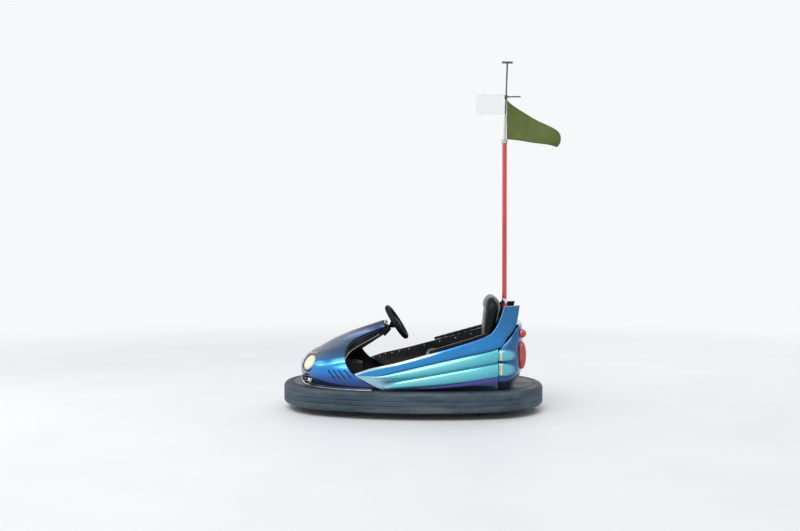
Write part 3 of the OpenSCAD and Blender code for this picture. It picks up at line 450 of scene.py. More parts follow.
def nose_surface(climb, sweep):
    """Point of the nose: climb goes up the table's rows, and sweep goes from the left seam round the tip to the
    right one."""
    row = through_rows(nose_rows, climb * (len(nose_rows) - 1))[:, :, None]
    angle = (math.pi / 2 * (1 - 2 * sweep))[None, :]
    c, s = squared_arc(angle, row[:, 5])
    x = row[:, 0] + (row[:, 3] - row[:, 0]) * c
    y = body_half_width(row[:, 0], row[:, 2]) * row[:, 1] * s
    z = row[:, 2] + (row[:, 4] - row[:, 2]) * c**1.2
    return np.stack([x, y, z], -1)


def grid_normals(grid):
    """Direction out of each point of a grid, from the product of its two central differences."""
    du = np.gradient(grid, axis=0)
    dv = np.gradient(grid, axis=1)
    n = np.cross(du, dv)
    return n / np.maximum(np.linalg.norm(n, axis=-1, keepdims=True), 1e-9)


def wall_faces(rows, cols, keep=None):
    """Faces of a closed wall between two grids of points: both sides, and a strip along every free edge."""
    cell = np.ones((rows - 1, cols - 1), bool) if keep is None else keep
    half = rows * cols
    index = np.arange(half).reshape(rows, cols)
    a, b, c, d = (g[cell] for g in (index[:-1, :-1], index[:-1, 1:], index[1:, 1:], index[1:, :-1]))
    parts = [np.stack([a, b, c, d], -1), np.stack([d, c, b, a], -1) + half]
    padded = np.pad(cell, 1)
    sides = (
        (cell & ~padded[:-2, 1:-1], index[:-1, 1:], index[:-1, :-1]),
        (cell & ~padded[2:, 1:-1], index[1:, :-1], index[1:, 1:]),
        (cell & ~padded[1:-1, :-2], index[:-1, :-1], index[1:, :-1]),
        (cell & ~padded[1:-1, 2:], index[1:, 1:], index[:-1, 1:]),
    )
    for free, p, q in sides:
        p, q = p[free], q[free]
        parts.append(np.stack([p, q, q + half, p + half], -1))
    return np.vstack(parts)


def soften_edges(piece, width, angle=55):
    """A small round on edges sharper than an angle, with normals that keep the broad faces true."""
    bevel = piece.modifiers.new("eased_edges", "BEVEL")
    bevel.width = width
    bevel.segments = 3
    bevel.limit_method = "ANGLE"
    bevel.angle_limit = math.radians(angle)
    bevel.harden_normals = True
    bevel.use_clamp_overlap = True


def cut_away(piece, cutters):
    """Takes closed cutters out of a piece and keeps the result as its mesh."""
    for cutter in cutters:
        change = piece.modifiers.new("cut", "BOOLEAN")
        change.object = cutter
        change.solver = "EXACT"
    done = bpy.data.meshes.new_from_object(piece.evaluated_get(bpy.context.evaluated_depsgraph_get()))
    piece.modifiers.clear()
    piece.data = done
    for cutter in cutters:
        bpy.data.objects.remove(cutter)


def facing(place, direction, side=1):
    """Matrix that turns Z to a direction and puts it at a place in millimetres, on the left or the right."""
    x, y, z = direction[0], side * direction[1], direction[2]
    spin = Matrix.Rotation(math.atan2(y, x), 4, "Z") @ Matrix.Rotation(math.acos(z), 4, "Y")
    return Matrix.Translation((place[0], side * place[1], place[2])) @ spin


def plug(name, half_a, half_b, low, high, matrix, steps=72, squareness=2.0):
    """Closed oval prism between two heights, as a plain object for cutting; its ends are fuller when squarer."""
    a = full_turn(steps)
    power = 2 / squareness
    rim = np.stack([half_a * np.cos(a), half_b * np.sign(np.sin(a)) * np.abs(np.sin(a)) ** power], -1)
    ends = [np.column_stack([rim, np.full(steps, h)]) for h in (low, high)]
    points = set_in(np.vstack(ends), matrix) * mm + np.array([ahead, 0, 0])
    sides = [(k, (k + 1) % steps, steps + (k + 1) % steps, steps + k) for k in range(steps)]
    mesh = bpy.data.meshes.new(name)
    mesh.from_pydata(points.tolist(), [], sides + [tuple(range(steps))[::-1], tuple(range(steps, 2 * steps))])
    shape = bpy.data.objects.new(name, mesh)
    scene.collection.objects.link(shape)
    return shape


def unit(v):
    return np.array(v, float) / np.linalg.norm(v)


def smooth(value, low, high):
    """0 below low and 1 above high, with a soft step between them."""
    f = np.clip((value - low) / (high - low), 0, 1)
    return f * f * (3 - 2 * f)


climb, sweep = np.linspace(0, 1, 190), np.linspace(0, 1, 230)
nose_plain = nose_surface(climb, sweep)
from_seam = np.minimum(sweep, 1 - sweep)[None, :] + 0 * climb[:, None]
up_nose = climb[:, None] + 0 * from_seam
# The hood's middle stands up between two creases, and a shoulder runs back from each lamp to the seam.
crease_at = 0.235 - 0.26 * np.maximum(0, up_nose - 0.6) ** 1.1
hood_share = smooth(from_seam, crease_at - 0.008, crease_at + 0.01) * smooth(up_nose, 0.5, 0.6)
shoulder_at = 0.394 - 0.28 * from_seam
shoulder = np.exp(-(((up_nose - shoulder_at) / 0.016) ** 2)) * (1 - smooth(from_seam, 0.12, 0.19))
nose = nose_plain + (4.0 * hood_share + 3.0 * shoulder)[..., None] * grid_normals(nose_plain)
nose_in = nose_plain - 10 * grid_normals(nose_plain)
nose_in[..., 2] = np.maximum(nose_in[..., 2], body_foot)
shift_paint = Finish("shift_paint_nose", Coat_Roughness=0.04, Coat_IOR=1.4, Specular_IOR_Level=0.12)


def shift_coat(finish, colour, dull=0.0):
    """Metal flakes under a clear coat: the colour is a little paler or deeper from flake to flake, dulled by dust
    in broad patches and lightly scratched along the car. Where dull is 1 the sun has eaten most of the coat. The
    inside is bare black gel coat over the glass mat."""
    inside = finish.field("inside")
    flakes = finish.cells(900.0)
    dust = finish.noise(4.0, 5.0, 0.6).rise(0.5, 0.8)
    scratch = finish.noise(60.0, 4.0, 0.7, (0.12, 1, 1)).rise(0.66, 0.72)
    lit = finish.blend(flakes.rise(0.1, 0.7) * 0.22, colour, finish.blend(0.5, colour, (0.2, 0.62, 0.95)))
    dusty = finish.blend(dust * 0.06, lit, (0.3, 0.3, 0.31))
    outside = finish.blend(scratch * 0.16, dusty, (0.6, 0.68, 0.75))
    mat_cloth = finish.blend(finish.cells(160.0), (0.01, 0.01, 0.011), (0.022, 0.021, 0.02))
    finish.wire("Base Color", finish.blend(inside, outside, mat_cloth))
    finish.wire("Roughness", 0.22 + 0.1 * dust + 0.06 * flakes + 0.4 * inside)
    kept = (1.0 - 0.95 * dull) * (1.0 - inside) if dull else 1.0 - inside
    finish.wire("Coat Weight", (0.85 - 0.3 * dust - 0.25 * scratch) * kept)
    finish.wire("Metallic", (0.78 - 0.1 * dust) * kept)
    finish.bump(finish.noise(9.0, 2.0) + 0.02 * flakes - 0.04 * scratch, 0.1, 0.004)


climb_up = shift_paint.field("climb")
round_tip = shift_paint.field("sweep")
hood = shift_paint.field("hood")
mottle = shift_paint.noise(2.5, 3.0) * 0.05 - 0.025
# Colour by height: the paint's own shift, with painted shade darkening the foot and painted dark reflection in the
# dark bands above the shoulder and on the tongue's top.
nose_colour = shift_paint.ramp(
    climb_up + mottle,
    (0.0, (0.012, 0.008, 0.06)), (0.08, (0.014, 0.012, 0.105)), (0.17, (0.006, 0.05, 0.32)),
    (0.26, (0.0, 0.19, 0.6)), (0.36, (0.0, 0.24, 0.64)), (0.42, (0.0, 0.12, 0.33)),
    (0.47, (0.001, 0.03, 0.13)), (0.54, (0.006, 0.01, 0.05)), (0.68, (0.01, 0.01, 0.046)),
    (0.73, (0.002, 0.05, 0.23)), (0.8, (0.0, 0.19, 0.6)), (0.9, (0.004, 0.04, 0.23)),
    (1.0, (0.008, 0.012, 0.06)))
tip = round_tip.near(0.5, 0.34) * (1.0 - climb_up.rise(0.42, 0.6))
nose_colour = shift_paint.blend(tip * 0.6, nose_colour, (0.014, 0.022, 0.16))
# A pale cyan line along each shoulder crease: painted highlight.
nose_colour = shift_paint.blend(shift_paint.field("shoulder") * 0.75, nose_colour, (0.16, 0.62, 0.78))
# The hood between the creases is near-black violet: the paint's violet darkened with painted dark reflection.
hood_colour = shift_paint.ramp(
    climb_up + mottle, (0.5, (0.014, 0.016, 0.04)), (0.66, (0.03, 0.018, 0.04)),
    (0.82, (0.036, 0.014, 0.042)), (1.0, (0.014, 0.01, 0.03)))
nose_colour = shift_paint.blend(hood * 0.95, nose_colour, hood_colour)
crease_glint = hood.near(0.45, 0.4) * climb_up.rise(0.5, 0.56) * 0.75
nose_colour = shift_paint.blend(crease_glint, nose_colour, (0.62, 0.33, 0.25))
shift_coat(shift_paint, nose_colour, shift_paint.field("faded"))


def make_wall(name, skin, inside, finish, keep=None, mirror=1, fields=None, **more):
    """A closed wall between a skin and its inside. Each field is spread over the grid and kept on both, and a
    painted wall also says where its inside is."""
    rows, cols = skin.shape[:2]
    both = {key: [np.broadcast_to(value, (rows, cols))] * 2 for key, value in (fields or {}).items()}
    if fields:
        both["inside"] = [np.zeros((rows, cols)), np.ones((rows, cols))]
    points = np.stack([skin, inside]) * [1, mirror, 1]
    return make_piece(name, points, wall_faces(rows, cols, keep), finish, fields=both, **more)


sun_eaten = smooth(up_nose, 0.44, 0.52) * (1 - 0.6 * smooth(up_nose, 0.68, 0.78) * (1 - hood_share))
nose_piece = make_wall(
    "nose_moulding", nose, nose_in, shift_paint, stands_for=["nose_cowl"], slot="body_paint",
    fields={"climb": climb[:, None], "sweep": sweep, "hood": hood_share, "shoulder": shoulder, "faded": sun_eaten})
lamp_place, lamp_look = (716, 352, 372), unit((0.6, 0.62, 0.5))
grille_place, grille_look = (742, 338, 258), unit((0.7, 0.71, 0.02))
out_of_nose = grid_normals(nose)
slot_lean = math.radians(42)
slot_line = unit((math.sin(slot_lean), 0, math.cos(slot_lean)))
slot_places, slot_height, slot_half_wide, slot_half_long, slot_deep = (540, 500, 460, 420), 312, 4.5, 43, 6.5
both_sides = ((1, "left"), (-1, "right"))
cutters = []
for side, word in both_sides:
    for place, look, a, b in ((lamp_place, lamp_look, 68.5, 68.5), (grille_place, grille_look, 40.3, 62.3)):
        cutters.append(plug("hole", a, b, -60, 100, facing(place, look, side)))
    for slot_x in slot_places:
        near_slot = np.hypot(nose[:, :100, 0] - slot_x, nose[:, :100, 2] - slot_height)
        spot = np.unravel_index(np.argmin(near_slot), near_slot.shape)
        look = out_of_nose[spot] * [1, side, 1]
        up_slot = unit(slot_line - slot_line.dot(look) * look)
        seat = Matrix.Identity(4)
        for column, axis in enumerate((np.cross(up_slot, look), up_slot, look, nose[spot] * [1, side, 1])):
            for line in range(3):
                seat[line][column] = axis[line]
        cutters.append(plug("slot", slot_half_wide, slot_half_long, -slot_deep, 40, seat, 40, 6.0))
# The slots stop short of the inside. The faces the cutters leave carry no climb value, so the slot floors wear the
# ramp's darkest indigo: painted shade in the recesses.
cut_away(nose_piece, cutters)
soften_edges(nose_piece, 0.0025)

# Deck strip: a bright extruded edging bent round the foot of the nose, which hides its joint with the deck.
strip_metal = wear(Finish("deck_strip", Metallic=0.85), (0.56, 0.57, 0.6), (0.25, 0.25, 0.26), (0.8, 0.8, 0.82),
                   80, (0.28, 0.42), 0.1)
foot = nose[0, 6:-6]
side_on = grid_normals(nose)[0, 6:-6] * [1, 1, 0]
side_on /= np.linalg.norm(side_on, axis=-1, keepdims=True)
arc = np.linspace(0, 1, 12)
out = np.concatenate([[6.4], 6.4 + 9.2 * arc, [15.6]])
lift = np.concatenate([[0], 7 * np.sqrt(np.maximum(0, 1 - (0.82 * arc) ** 2.2)), [0]])
strip = foot[None] + out[:, None, None] * side_on[None] + lift[:, None, None] * np.array([0, 0, 1])
make_grid("deck_strip", strip, strip_metal, None, True, False, stands_for=["cowl_trim"], slot="trim_metal")

# Side panels: one glass-fibre moulding a side, from the seam behind the nose to the top of the tail fin. Two
# convex flutes grow out of a flat silver wedge and run up to the amber markers under a broad blue band.
# Columns: x and z of the lower edge, both edges of the lower flute, both edges of the upper flute, the rim
side_lines = [
    [174, 203, 181, 207, 193, 213, 347, 292, 365, 306, 375, 316],
    [166, 203, 169, 208, 172, 221, 278, 291, 289, 304, 289, 346],
    [146, 203, 150, 209, 150, 236, 188, 288, 200, 304, 195, 369],
    [60, 205, 60, 214, 60, 270, 68, 287, 70, 337, 70, 398],
    [-145, 217, -145, 233, -145, 311, -145, 318, -145, 389, -145, 457],
    [-380, 238, -380, 262, -380, 354, -380, 360, -380, 441, -365, 520],
    [-628, 270, -628, 300, -628, 395, -628, 401, -628, 496, -551, 580],
    [-680, 280, -680, 310, -680, 402, -680, 408, -693, 566, -604, 624],
    [-740, 290, -740, 320, -740, 412, -740, 418, -755, 648, -644, 698],
    [-770, 300, -770, 330, -770, 422, -770, 428, -786, 790, -674, 784],
]
flute_rise_height = 22.0


def side_surface(run, line):
    """Point of the side: run goes back along the stations, line counts the six lines upwards. Between two lines
    the point lies straight between them, and each flute swells out as the root of a half sine."""
    row = through_rows(side_lines, run * (len(side_lines) - 1))
    low = np.minimum(line.astype(int), 4)
    share = (line - low)[:, None]
    x = row[:, 2 * low].T * (1 - share) + row[:, 2 * low + 2].T * share
    z = row[:, 2 * low + 1].T * (1 - share) + row[:, 2 * low + 3].T * share
    swell = np.array([0, 1, 0, 1, 0.35])[low][:, None] * flute_rise_height * smooth(run * 9, 1.2, 3.5)[None]
    y = body_half_width(x, z) + swell * np.sqrt(np.sin(math.pi * np.clip(share, 0, 1)))
    return np.stack([x, y, z], -1)


def eased(count):
    """Shares from 0 to nearly 1 that lie closer together at both ends."""
    return (1 - np.cos(np.pi * np.arange(count) / count)) / 2


lines = np.concatenate([np.arange(4) / 4, 1 + eased(22), 2 + np.arange(4) / 4, 3 + eased(22), 4 + eased(26), [5]])
run = np.linspace(0, 1, 217)
side_skin = side_surface(run, lines)
foot_row = side_skin[0] - [0, 34, 0]
foot_row[:, 2] = body_foot
turn_row = side_skin[0] - [0, 27, 0]
turn_row[:, 2] = (turn_row[:, 2] + body_foot) / 2
side_out = np.concatenate([[foot_row], [turn_row], side_skin])
side_in = side_out.copy()
side_in[..., 1] = body_half_width(side_out[..., 0], side_out[..., 2]) - 48
line_field = np.concatenate([[-1, -0.5], lines])[:, None]
# Behind the seventh station only the band above the flutes goes on, as the tail fin.
keep = (line_field[:-1] >= 4) | (run[:-1] < 6 / 9 - 1e-6)
rim_height = through_rows(side_lines, run * (len(side_lines) - 1))[:, 11]
from_rim = rim_height[None, :] - side_out[..., 2]
side_paint = Finish("shift_paint_side", Coat_Roughness=0.04, Coat_IOR=1.4, Specular_IOR_Level=0.12)
line_at = side_paint.field("line")
run_at = side_paint.field("run")
cloudy = side_paint.noise(3.0, 3.0, 0.5, (0.5, 1, 1)).rise(0.3, 0.7)
aqua = side_paint.blend(cloudy, (0.1, 0.52, 0.58), (0.2, 0.64, 0.66))
aqua = side_paint.blend(run_at.rise(0.44, 0.72) * 0.4, aqua, (0.02, 0.33, 0.48))
# Each flute is painted deeper blue on its lower part: painted shade under its swell.
flute_top_lit = line_at.rise(1.0, 1.75) + line_at.rise(2.0, 2.3) * -1.0 + line_at.rise(3.0, 3.75)
aqua = side_paint.blend((1.0 - flute_top_lit) * 0.55, aqua, (0.01, 0.33, 0.45))
silver = side_paint.blend(side_paint.noise(8.0, 4.0).rise(0.3, 0.7), (0.4, 0.62, 0.7), (0.27, 0.46, 0.56))
flute_or_wedge = side_paint.blend(run_at.rise(0.2, 0.32), silver, aqua)
band_blue = side_paint.ramp(
    line_at + side_paint.noise(2.0, 3.0) * 0.1 - 4.05,
    (0.0, (0.0, 0.11, 0.38)), (0.35, (0.0, 0.19, 0.52)), (0.75, (0.0, 0.175, 0.48)),
    (1.0, (0.002, 0.12, 0.4)))
band_blue = side_paint.blend((1.0 - run_at.rise(0.15, 0.6)) * 0.45, band_blue, (0.01, 0.3, 0.6))
band_blue = side_paint.blend(run_at.rise(0.62, 0.95) * 0.75, band_blue, (0.001, 0.07, 0.23))
# Violet paint low on the side, darkening to near black where the skirt turns under: painted shade.
low_violet = side_paint.blend(line_at.rise(-0.4, 0.6), (0.01, 0.007, 0.04), (0.07, 0.022, 0.3))
side_colour = side_paint.blend(line_at.rise(0.9, 1.06), low_violet, flute_or_wedge)
side_colour = side_paint.blend(line_at.rise(3.97, 4.05), side_colour, band_blue)
# Dark lines along the flutes' edges and the groove between them: painted shade in the grooves.
creases = (line_at.near(2.5, 0.6) + line_at.near(1.0, 0.1) + line_at.near(4.0, 0.09)) * run_at.rise(0.14, 0.28)
side_colour = side_paint.blend(creases * 0.9, side_colour, (0.0, 0.03, 0.11))
# A pale line along the rolled rim ahead of the arm pads: painted highlight.
rim_highlight = (1.0 - side_paint.field("from_rim").rise(9.0, 16.0)) * (1.0 - run_at.rise(0.42, 0.5))
side_colour = side_paint.blend(rim_highlight * 0.85, side_colour, (0.72, 0.86, 0.9))
shift_coat(side_paint, side_colour)
for side, word in both_sides:
    panel = make_wall("fluted_side_" + word, side_out, side_in, side_paint, keep, side,
                      fields={"line": line_field, "run": run, "from_rim": from_rim},
                      stands_for=["side_panel_" + word], slot="body_paint")
    soften_edges(panel, 0.004, angle=50)

# Tail: one moulding from seam to seam round the back, up to a shelf behind the seat. Behind each amber
# marker the flute runs out in a rounded lobe, and the tail lamps sit in its rear corners.
# Columns: x at the seam, z there, inset from the body's width there, x at the middle, z there, squareness
tail_rows = [
    [-632, body_foot, 34, -762, body_foot, 2.6],
    [-632, 236, 27, -776, 246, 2.6],
    [-632, 277, 0, -802, 292, 2.7],
    [-632, 316, 0, -815, 330, 2.9],
    [-632, 362, 0, -821, 376, 3.0],
    [-633, 408, 0, -824, 424, 3.0],
    [-636, 480, 0, -824, 494, 3.0],
    [-713, 566, 0, -821, 578, 3.0],
    [-764, 637, 2, -813, 640, 3.0],
    [-776, 648, 68, -798, 656, 3.0],
    [-650, 658, 68, -650, 668, 2.0],
]
# Columns: height of a lobe's middle, half height, how far it runs back, how far it swells out
tail_lobes = [[450, 44, 122, 18], [352, 48, 118, 18]]
lobe_start = -632


def lobe_dome(x, z, middle, half, back):
    """Height of a lobe as a share of its swell: a quarter of a flattened dome that starts at the seam."""
    d = (np.abs(z - middle) / half) ** 2.4 + (np.maximum(0, lobe_start - x) / back) ** 3
    return np.sqrt(np.maximum(0, 1 - d))


def tail_surface(climb, sweep):
    """Point of the tail: climb goes up the table's rows, and sweep from the right seam round the back to the left,
    with the lobes swelling out of it."""
    row = through_rows(tail_rows, climb * (len(tail_rows) - 1))[:, :, None]
    angle = (math.pi / 2 * (2 * sweep - 1))[None, :]
    c, s = squared_arc(angle, row[:, 5])
    x = row[:, 0] + (row[:, 3] - row[:, 0]) * c
    y = (body_half_width(row[:, 0], row[:, 1]) - row[:, 2]) * s
    z = row[:, 1] + (row[:, 4] - row[:, 1]) * c**1.2
    for middle, half, back, out in tail_lobes:
        y = y + np.sign(s) * out * lobe_dome(x, z, middle, half, back)
    return np.stack([x, y, z], -1)


tail_climb, tail_sweep = np.linspace(0, 1, 160), np.linspace(0, 1, 260)
tail = tail_surface(tail_climb, tail_sweep)
tail_in = tail - 10 * grid_normals(tail)
tail_in[..., 2] = np.maximum(tail_in[..., 2], body_foot)
tail_paint = Finish("shift_paint_tail", Coat_Roughness=0.04, Coat_IOR=1.4, Specular_IOR_Level=0.12)
climb_up = tail_paint.field("climb")
# The tail is painted a deeper blue than the sides, violet at its foot: partly its paint, partly painted shade.
tail_colour = tail_paint.ramp(
    climb_up + tail_paint.noise(2.5, 3.0) * 0.05 - 0.025,
    (0.0, (0.01, 0.007, 0.04)), (0.15, (0.026, 0.014, 0.12)), (0.25, (0.004, 0.04, 0.19)),
    (0.42, (0.0, 0.055, 0.18)), (0.6, (0.0, 0.07, 0.23)), (0.8, (0.001, 0.066, 0.22)),
    (0.9, (0.003, 0.034, 0.12)), (1.0, (0.003, 0.024, 0.085)))
lobed = tail_paint.field("lobe")
tail_colour = tail_paint.blend(lobed.rise(0.2, 0.85) * 0.85, tail_colour, (0.13, 0.52, 0.62))
# A dark line round the foot of each lobe: painted shade.
tail_colour = tail_paint.blend(lobed.near(0.1, 0.14) * 0.8, tail_colour, (0.0, 0.025, 0.09))
shift_coat(tail_paint, tail_colour)
lobe_field = sum(lobe_dome(tail[..., 0], tail[..., 2], *lobe[:3]) for lobe in tail_lobes)
tail_piece = make_wall("tail_moulding", tail, tail_in, tail_paint, stands_for=["tail_cowl"], slot="body_paint",
                       fields={"climb": tail_climb[:, None], "lobe": lobe_field})
soften_edges(tail_piece, 0.003)

# Linings: thin moulded sheets of black plastic inside each side wall, from the rail up to just under the
# rim, held by a row of dome-headed screws along their upper edge.
black_plastic = wear(Finish("lining_plastic"), (0.016, 0.016, 0.018), (0.03, 0.029, 0.027), (0.085, 0.085, 0.09),
                     55, (0.38, 0.6), 0.5)


def side_line(t, k):
    """Place along one of the six lines: k counts them upwards."""
    row = through_rows(side_lines, np.atleast_1d(t))
    return row[:, 2 * k], row[:, 2 * k + 1]


def turned(profile, steps=96):
    """Rings of a turned shape: a profile of radius and height carried round Z."""
    a = full_turn(steps)
    profile = np.asarray(profile, float)
    r, h = profile[:, :1], profile[:, 1:]
    return np.stack([r * np.cos(a), r * np.sin(a), np.repeat(h, steps, 1)], -1)


def screws(name, places, look, radius, finish):
    """Dome-headed screws in one piece: each head is a low dome with a shallow rim and a dimple in its middle."""
    steps = [[1.0, -0.2], [1.0, 0.12], [0.92, 0.26], [0.66, 0.46], [0.32, 0.55], [0.24, 0.42], [0.0, 0.4]]
    head = (turned(steps, 14) * radius).reshape(-1, 3)
    cells = grid_faces(len(steps), 14, close_cols=True)
    points = [set_in(head, facing(place, unit(look))) for place in places]
    faces = [cells + number * len(head) for number in range(len(points))]
    make_piece(name, np.vstack(points), np.vstack(faces), finish)


share = np.linspace(0, 1, 30)
t = np.linspace(0, 6.2, 120)
low_x, low_z = side_line(t, 0)
top_x, top_z = side_line(t, 5)
lining_x = low_x + (top_x - low_x) * share[:, None]
lining_z = body_foot + (top_z - 3 - body_foot) * share[:, None]
from_edge = np.minimum(share, 1 - share)[:, None]
panels = np.sqrt(np.abs(np.sin(np.pi * 5 * t / 6.2)))[None] * np.minimum(1, 6 * from_edge)
lining_out = np.stack([lining_x, body_half_width(lining_x, lining_z) - 52.6, lining_z], -1)
lining_in = lining_out - np.stack([0 * panels, 7 + 2.5 * panels, 0 * panels], -1)
for side, word in both_sides:
    lining = make_wall("lining_sheet_" + word, lining_out, lining_in, black_plastic, None, side,
                       stands_for=["lining_" + word], slot="lining_black")
    soften_edges(lining, 0.0015)
    screw_places = lining_in[-3, 4:-4:11] * [1, side, 1]
    screws("lining_screws_" + word, screw_places, (0, -side, 0.05), 5.0, plain["bright_trim"])

# Arm pads: narrow foam pads on the side rims beside the seat, covered in black vinyl with a sewn edge.
vinyl = Finish("padded_vinyl", Coat_Weight=0.18, Coat_Roughness=0.14, Coat_IOR=1.4, Specular_IOR_Level=0.08)
grain = vinyl.cells(420.0)
creased = vinyl.noise(24.0, 5.0, 0.6, (1, 1, 1), 1.5)
vinyl_dust = vinyl.noise(6.0, 5.0).rise(0.5, 0.75)
vinyl_base = vinyl.blend(vinyl_dust * 0.3, (0.006, 0.006, 0.007), (0.03, 0.029, 0.028))
vinyl.wire("Base Color", vinyl.blend(creased.rise(0.62, 0.74) * 0.3, vinyl_base, (0.055, 0.055, 0.058)))
vinyl.wire("Roughness", 0.3 + 0.14 * vinyl_dust + 0.06 * grain)
vinyl.bump(grain * 0.35 + creased * 0.9, 0.25, 0.0008)


def bowed(value, power):
    """A sine or cosine raised to a power with its sign kept: the lower the power, the squarer the section."""
    return np.abs(value) ** power * np.sign(value)


along_pad = np.linspace(0, 1, 90)
round_pad = full_turn(48)
pad_x, pad_z = side_line(4.0 + 1.97 * along_pad, 5)
end_round = np.minimum(1, (60 * np.minimum(along_pad, 1 - along_pad)) ** 0.5)
thick = (0.72 + 0.28 * np.sqrt(np.sin(np.pi * (0.02 + 0.96 * along_pad)))) * end_round
pad_half_wide, pad_half_high, pad_inset, pad_lift = 22, 13, 25, 13.6
pad_out = thick[:, None] * pad_half_wide * bowed(np.cos(round_pad), 0.7)
pad_creases = (1 + 0.05 * np.sin(50 * along_pad))[:, None]
pad_up = thick[:, None] * pad_half_high * bowed(np.sin(round_pad), 0.7) * pad_creases
pad_middle = body_half_width(pad_x, pad_z)[:, None] - pad_inset
pad = np.stack([pad_x[:, None] + 0 * pad_out, pad_middle + pad_out, pad_z[:, None] + pad_lift + pad_up], -1)


def cord_along(path, radius, steps=8):
    """Thin round bead carried along a path: each section turns with the path and keeps its upright."""
    path = np.asarray(path, float)
    run = np.gradient(path, axis=0)
    run /= np.linalg.norm(run, axis=1, keepdims=True)
    across = np.cross(run, [0.13, 0.21, 0.97])
    across /= np.linalg.norm(across, axis=1, keepdims=True)
    over = np.cross(across, run)
    a = full_turn(steps)[None, :, None]
    ends = np.ones(len(path))
    ends[[0, -1]] = 0.05
    return path[:, None] + radius * ends[:, None, None] * (np.cos(a) * across[:, None] + np.sin(a) * over[:, None])


for side, word in both_sides:
    rest = make_grid("arm_rest_" + word, pad * [1, side, 1], vinyl,
                     stands_for=["arm_pad_" + word], slot="vinyl_black")
    make_grid("arm_rest_piping_" + word, cord_along(pad[2:-2, 4] * [1, side, 1], 1.8), vinyl, slot="vinyl_black")

# Seat: a bench of foam in glossy black vinyl. The cushion has three sewn bays and the back eight upright
# flutes under a padded top roll; both are stuffed tight and creased where people sit.
seat_hw, base_top, seat_front, seat_rear, seat_top = 392.0, 332.3, -92.0, -500.0, 855.0


def stuff(piece, sewn, pressure=4.0, cap=0.011, frames=20):
    """Foam and air under a cover: the closed mesh is made even, blown out by cloth simulation with its sewn
    lines held, and no point may move further than the cap."""
    even = piece.modifiers.new("even_cover", "REMESH")
    even.mode = "VOXEL"
    even.voxel_size = 0.0075
    mesh = bpy.data.meshes.new_from_object(piece.evaluated_get(bpy.context.evaluated_depsgraph_get()))
    piece.modifiers.clear()
    piece.data = mesh
    mesh.polygons.foreach_set("use_smooth", np.ones(len(mesh.polygons), bool))
    start = np.empty(len(mesh.vertices) * 3)
    mesh.vertices.foreach_get("co", start)
    start = start.reshape(-1, 3)
    held = piece.vertex_groups.new(name="sewn")
    held.add(np.flatnonzero(sewn(start / mm - [ahead / mm, 0, 0])).tolist(), 1.0, "REPLACE")
    cloth = piece.modifiers.new("cover", "CLOTH")
    cloth.settings.use_pressure = True
    cloth.settings.uniform_pressure_force = pressure
    cloth.settings.vertex_group_mass = "sewn"
    cloth.settings.tension_stiffness = 8
    cloth.settings.compression_stiffness = 4
    cloth.settings.bending_stiffness = 0.3
    cloth.settings.quality = 5
    cloth.settings.effector_weights.gravity = 0
    cloth.point_cache.frame_start, cloth.point_cache.frame_end = 1, frames
    for step in range(1, frames + 1):
        scene.frame_set(step)
    blown = piece.evaluated_get(bpy.context.evaluated_depsgraph_get()).to_mesh()
    end = np.empty(len(start) * 3)
    blown.vertices.foreach_get("co", end)
    moved = end.reshape(-1, 3) - start
    far = np.linalg.norm(moved, axis=1, keepdims=True)
    start += moved * np.minimum(1, cap / np.maximum(far, 1e-9))
    piece.modifiers.clear()
    piece.vertex_groups.clear()
    scene.frame_set(1)
    mesh.vertices.foreach_set("co", start.ravel())
    mesh.update()


def dig_seams(piece, depth_of):
    """Pulls the cover in along its own normals by a depth that is a function of place."""
    mesh = piece.data
    place = np.empty(len(mesh.vertices) * 3)
    mesh.vertices.foreach_get("co", place)
    place = place.reshape(-1, 3)
    normal = np.empty(len(mesh.vertices) * 3)
    mesh.vertex_normals.foreach_get("vector", normal)
    depth = depth_of(place / mm - [ahead / mm, 0, 0], normal.reshape(-1, 3))
    mesh.vertices.foreach_set("co", (place - depth[:, None] * mm * normal.reshape(-1, 3)).ravel())
    mesh.update()
    fine = piece.modifiers.new("fine_cover", "SUBSURF")
    fine.levels = fine.render_levels = 1


def rounded_block(low, high, squareness, rows=60, cols=90):
    """Block whose sides swell like a superellipse: a sphere's directions pushed out by a high power."""
    v = np.linspace(-math.pi / 2, math.pi / 2, rows)[:, None]
    h = full_turn(cols)[None, :]
    ball = np.stack([np.cos(v) * np.cos(h), np.cos(v) * np.sin(h), np.sin(v) * np.ones_like(h)], -1)
    ball = ball / (np.abs(ball) ** squareness).sum(-1, keepdims=True) ** (1 / squareness)
    low, high = np.array(low, float), np.array(high, float)
    return (low + high) / 2 + ball * (high - low) / 2


def off_seams(p, seams):
    """Distance of points from the nearest of some upright seams, each at its own place across the seat."""
    return np.min([np.abs(p[:, 1] - y) for y in seams], axis=0)


cushion_low = (seat_rear + 3, -seat_hw + 16, base_top + 1)
cushion = rounded_block(cushion_low, (seat_front - 6, seat_hw - 16, base_top + 84), 7.0)
bays = (-127.0, 127.0)
cushion_piece = make_grid("seat_cushion_cover", cushion, vinyl, stands_for=["seat_cushion"], slot="vinyl_black")


def cushion_sewn(p):
    """Held points: the three bays' seams, the border seam round the top, and the base."""
    border = np.minimum.reduce([seat_front - p[:, 0], p[:, 0] - seat_rear, seat_hw - 14 - np.abs(p[:, 1])])
    on_seam = (off_seams(p, bays) < 5) & (p[:, 2] > base_top + 50)
    on_border = (border < 30) & (border > 22) & (p[:, 2] > base_top + 60)
    return (p[:, 2] < base_top + 12) | on_seam | on_border


def cushion_depth(p, n):
    """Seams as narrow troughs, and two shallow hollows where people sit."""
    seam = off_seams(p, bays)
    trough = 6.0 * np.exp(-((seam / 7.0) ** 2)) * (n[:, 2] > 0.3)
    sit = sum(np.exp(-(((p[:, 0] + 330) / 130) ** 2) - ((p[:, 1] - y) / 120) ** 2) for y in (-190, 190))
    return trough + 7.0 * sit * (n[:, 2] > 0.5)


stuff(cushion_piece, cushion_sewn)
dig_seams(cushion_piece, cushion_depth)

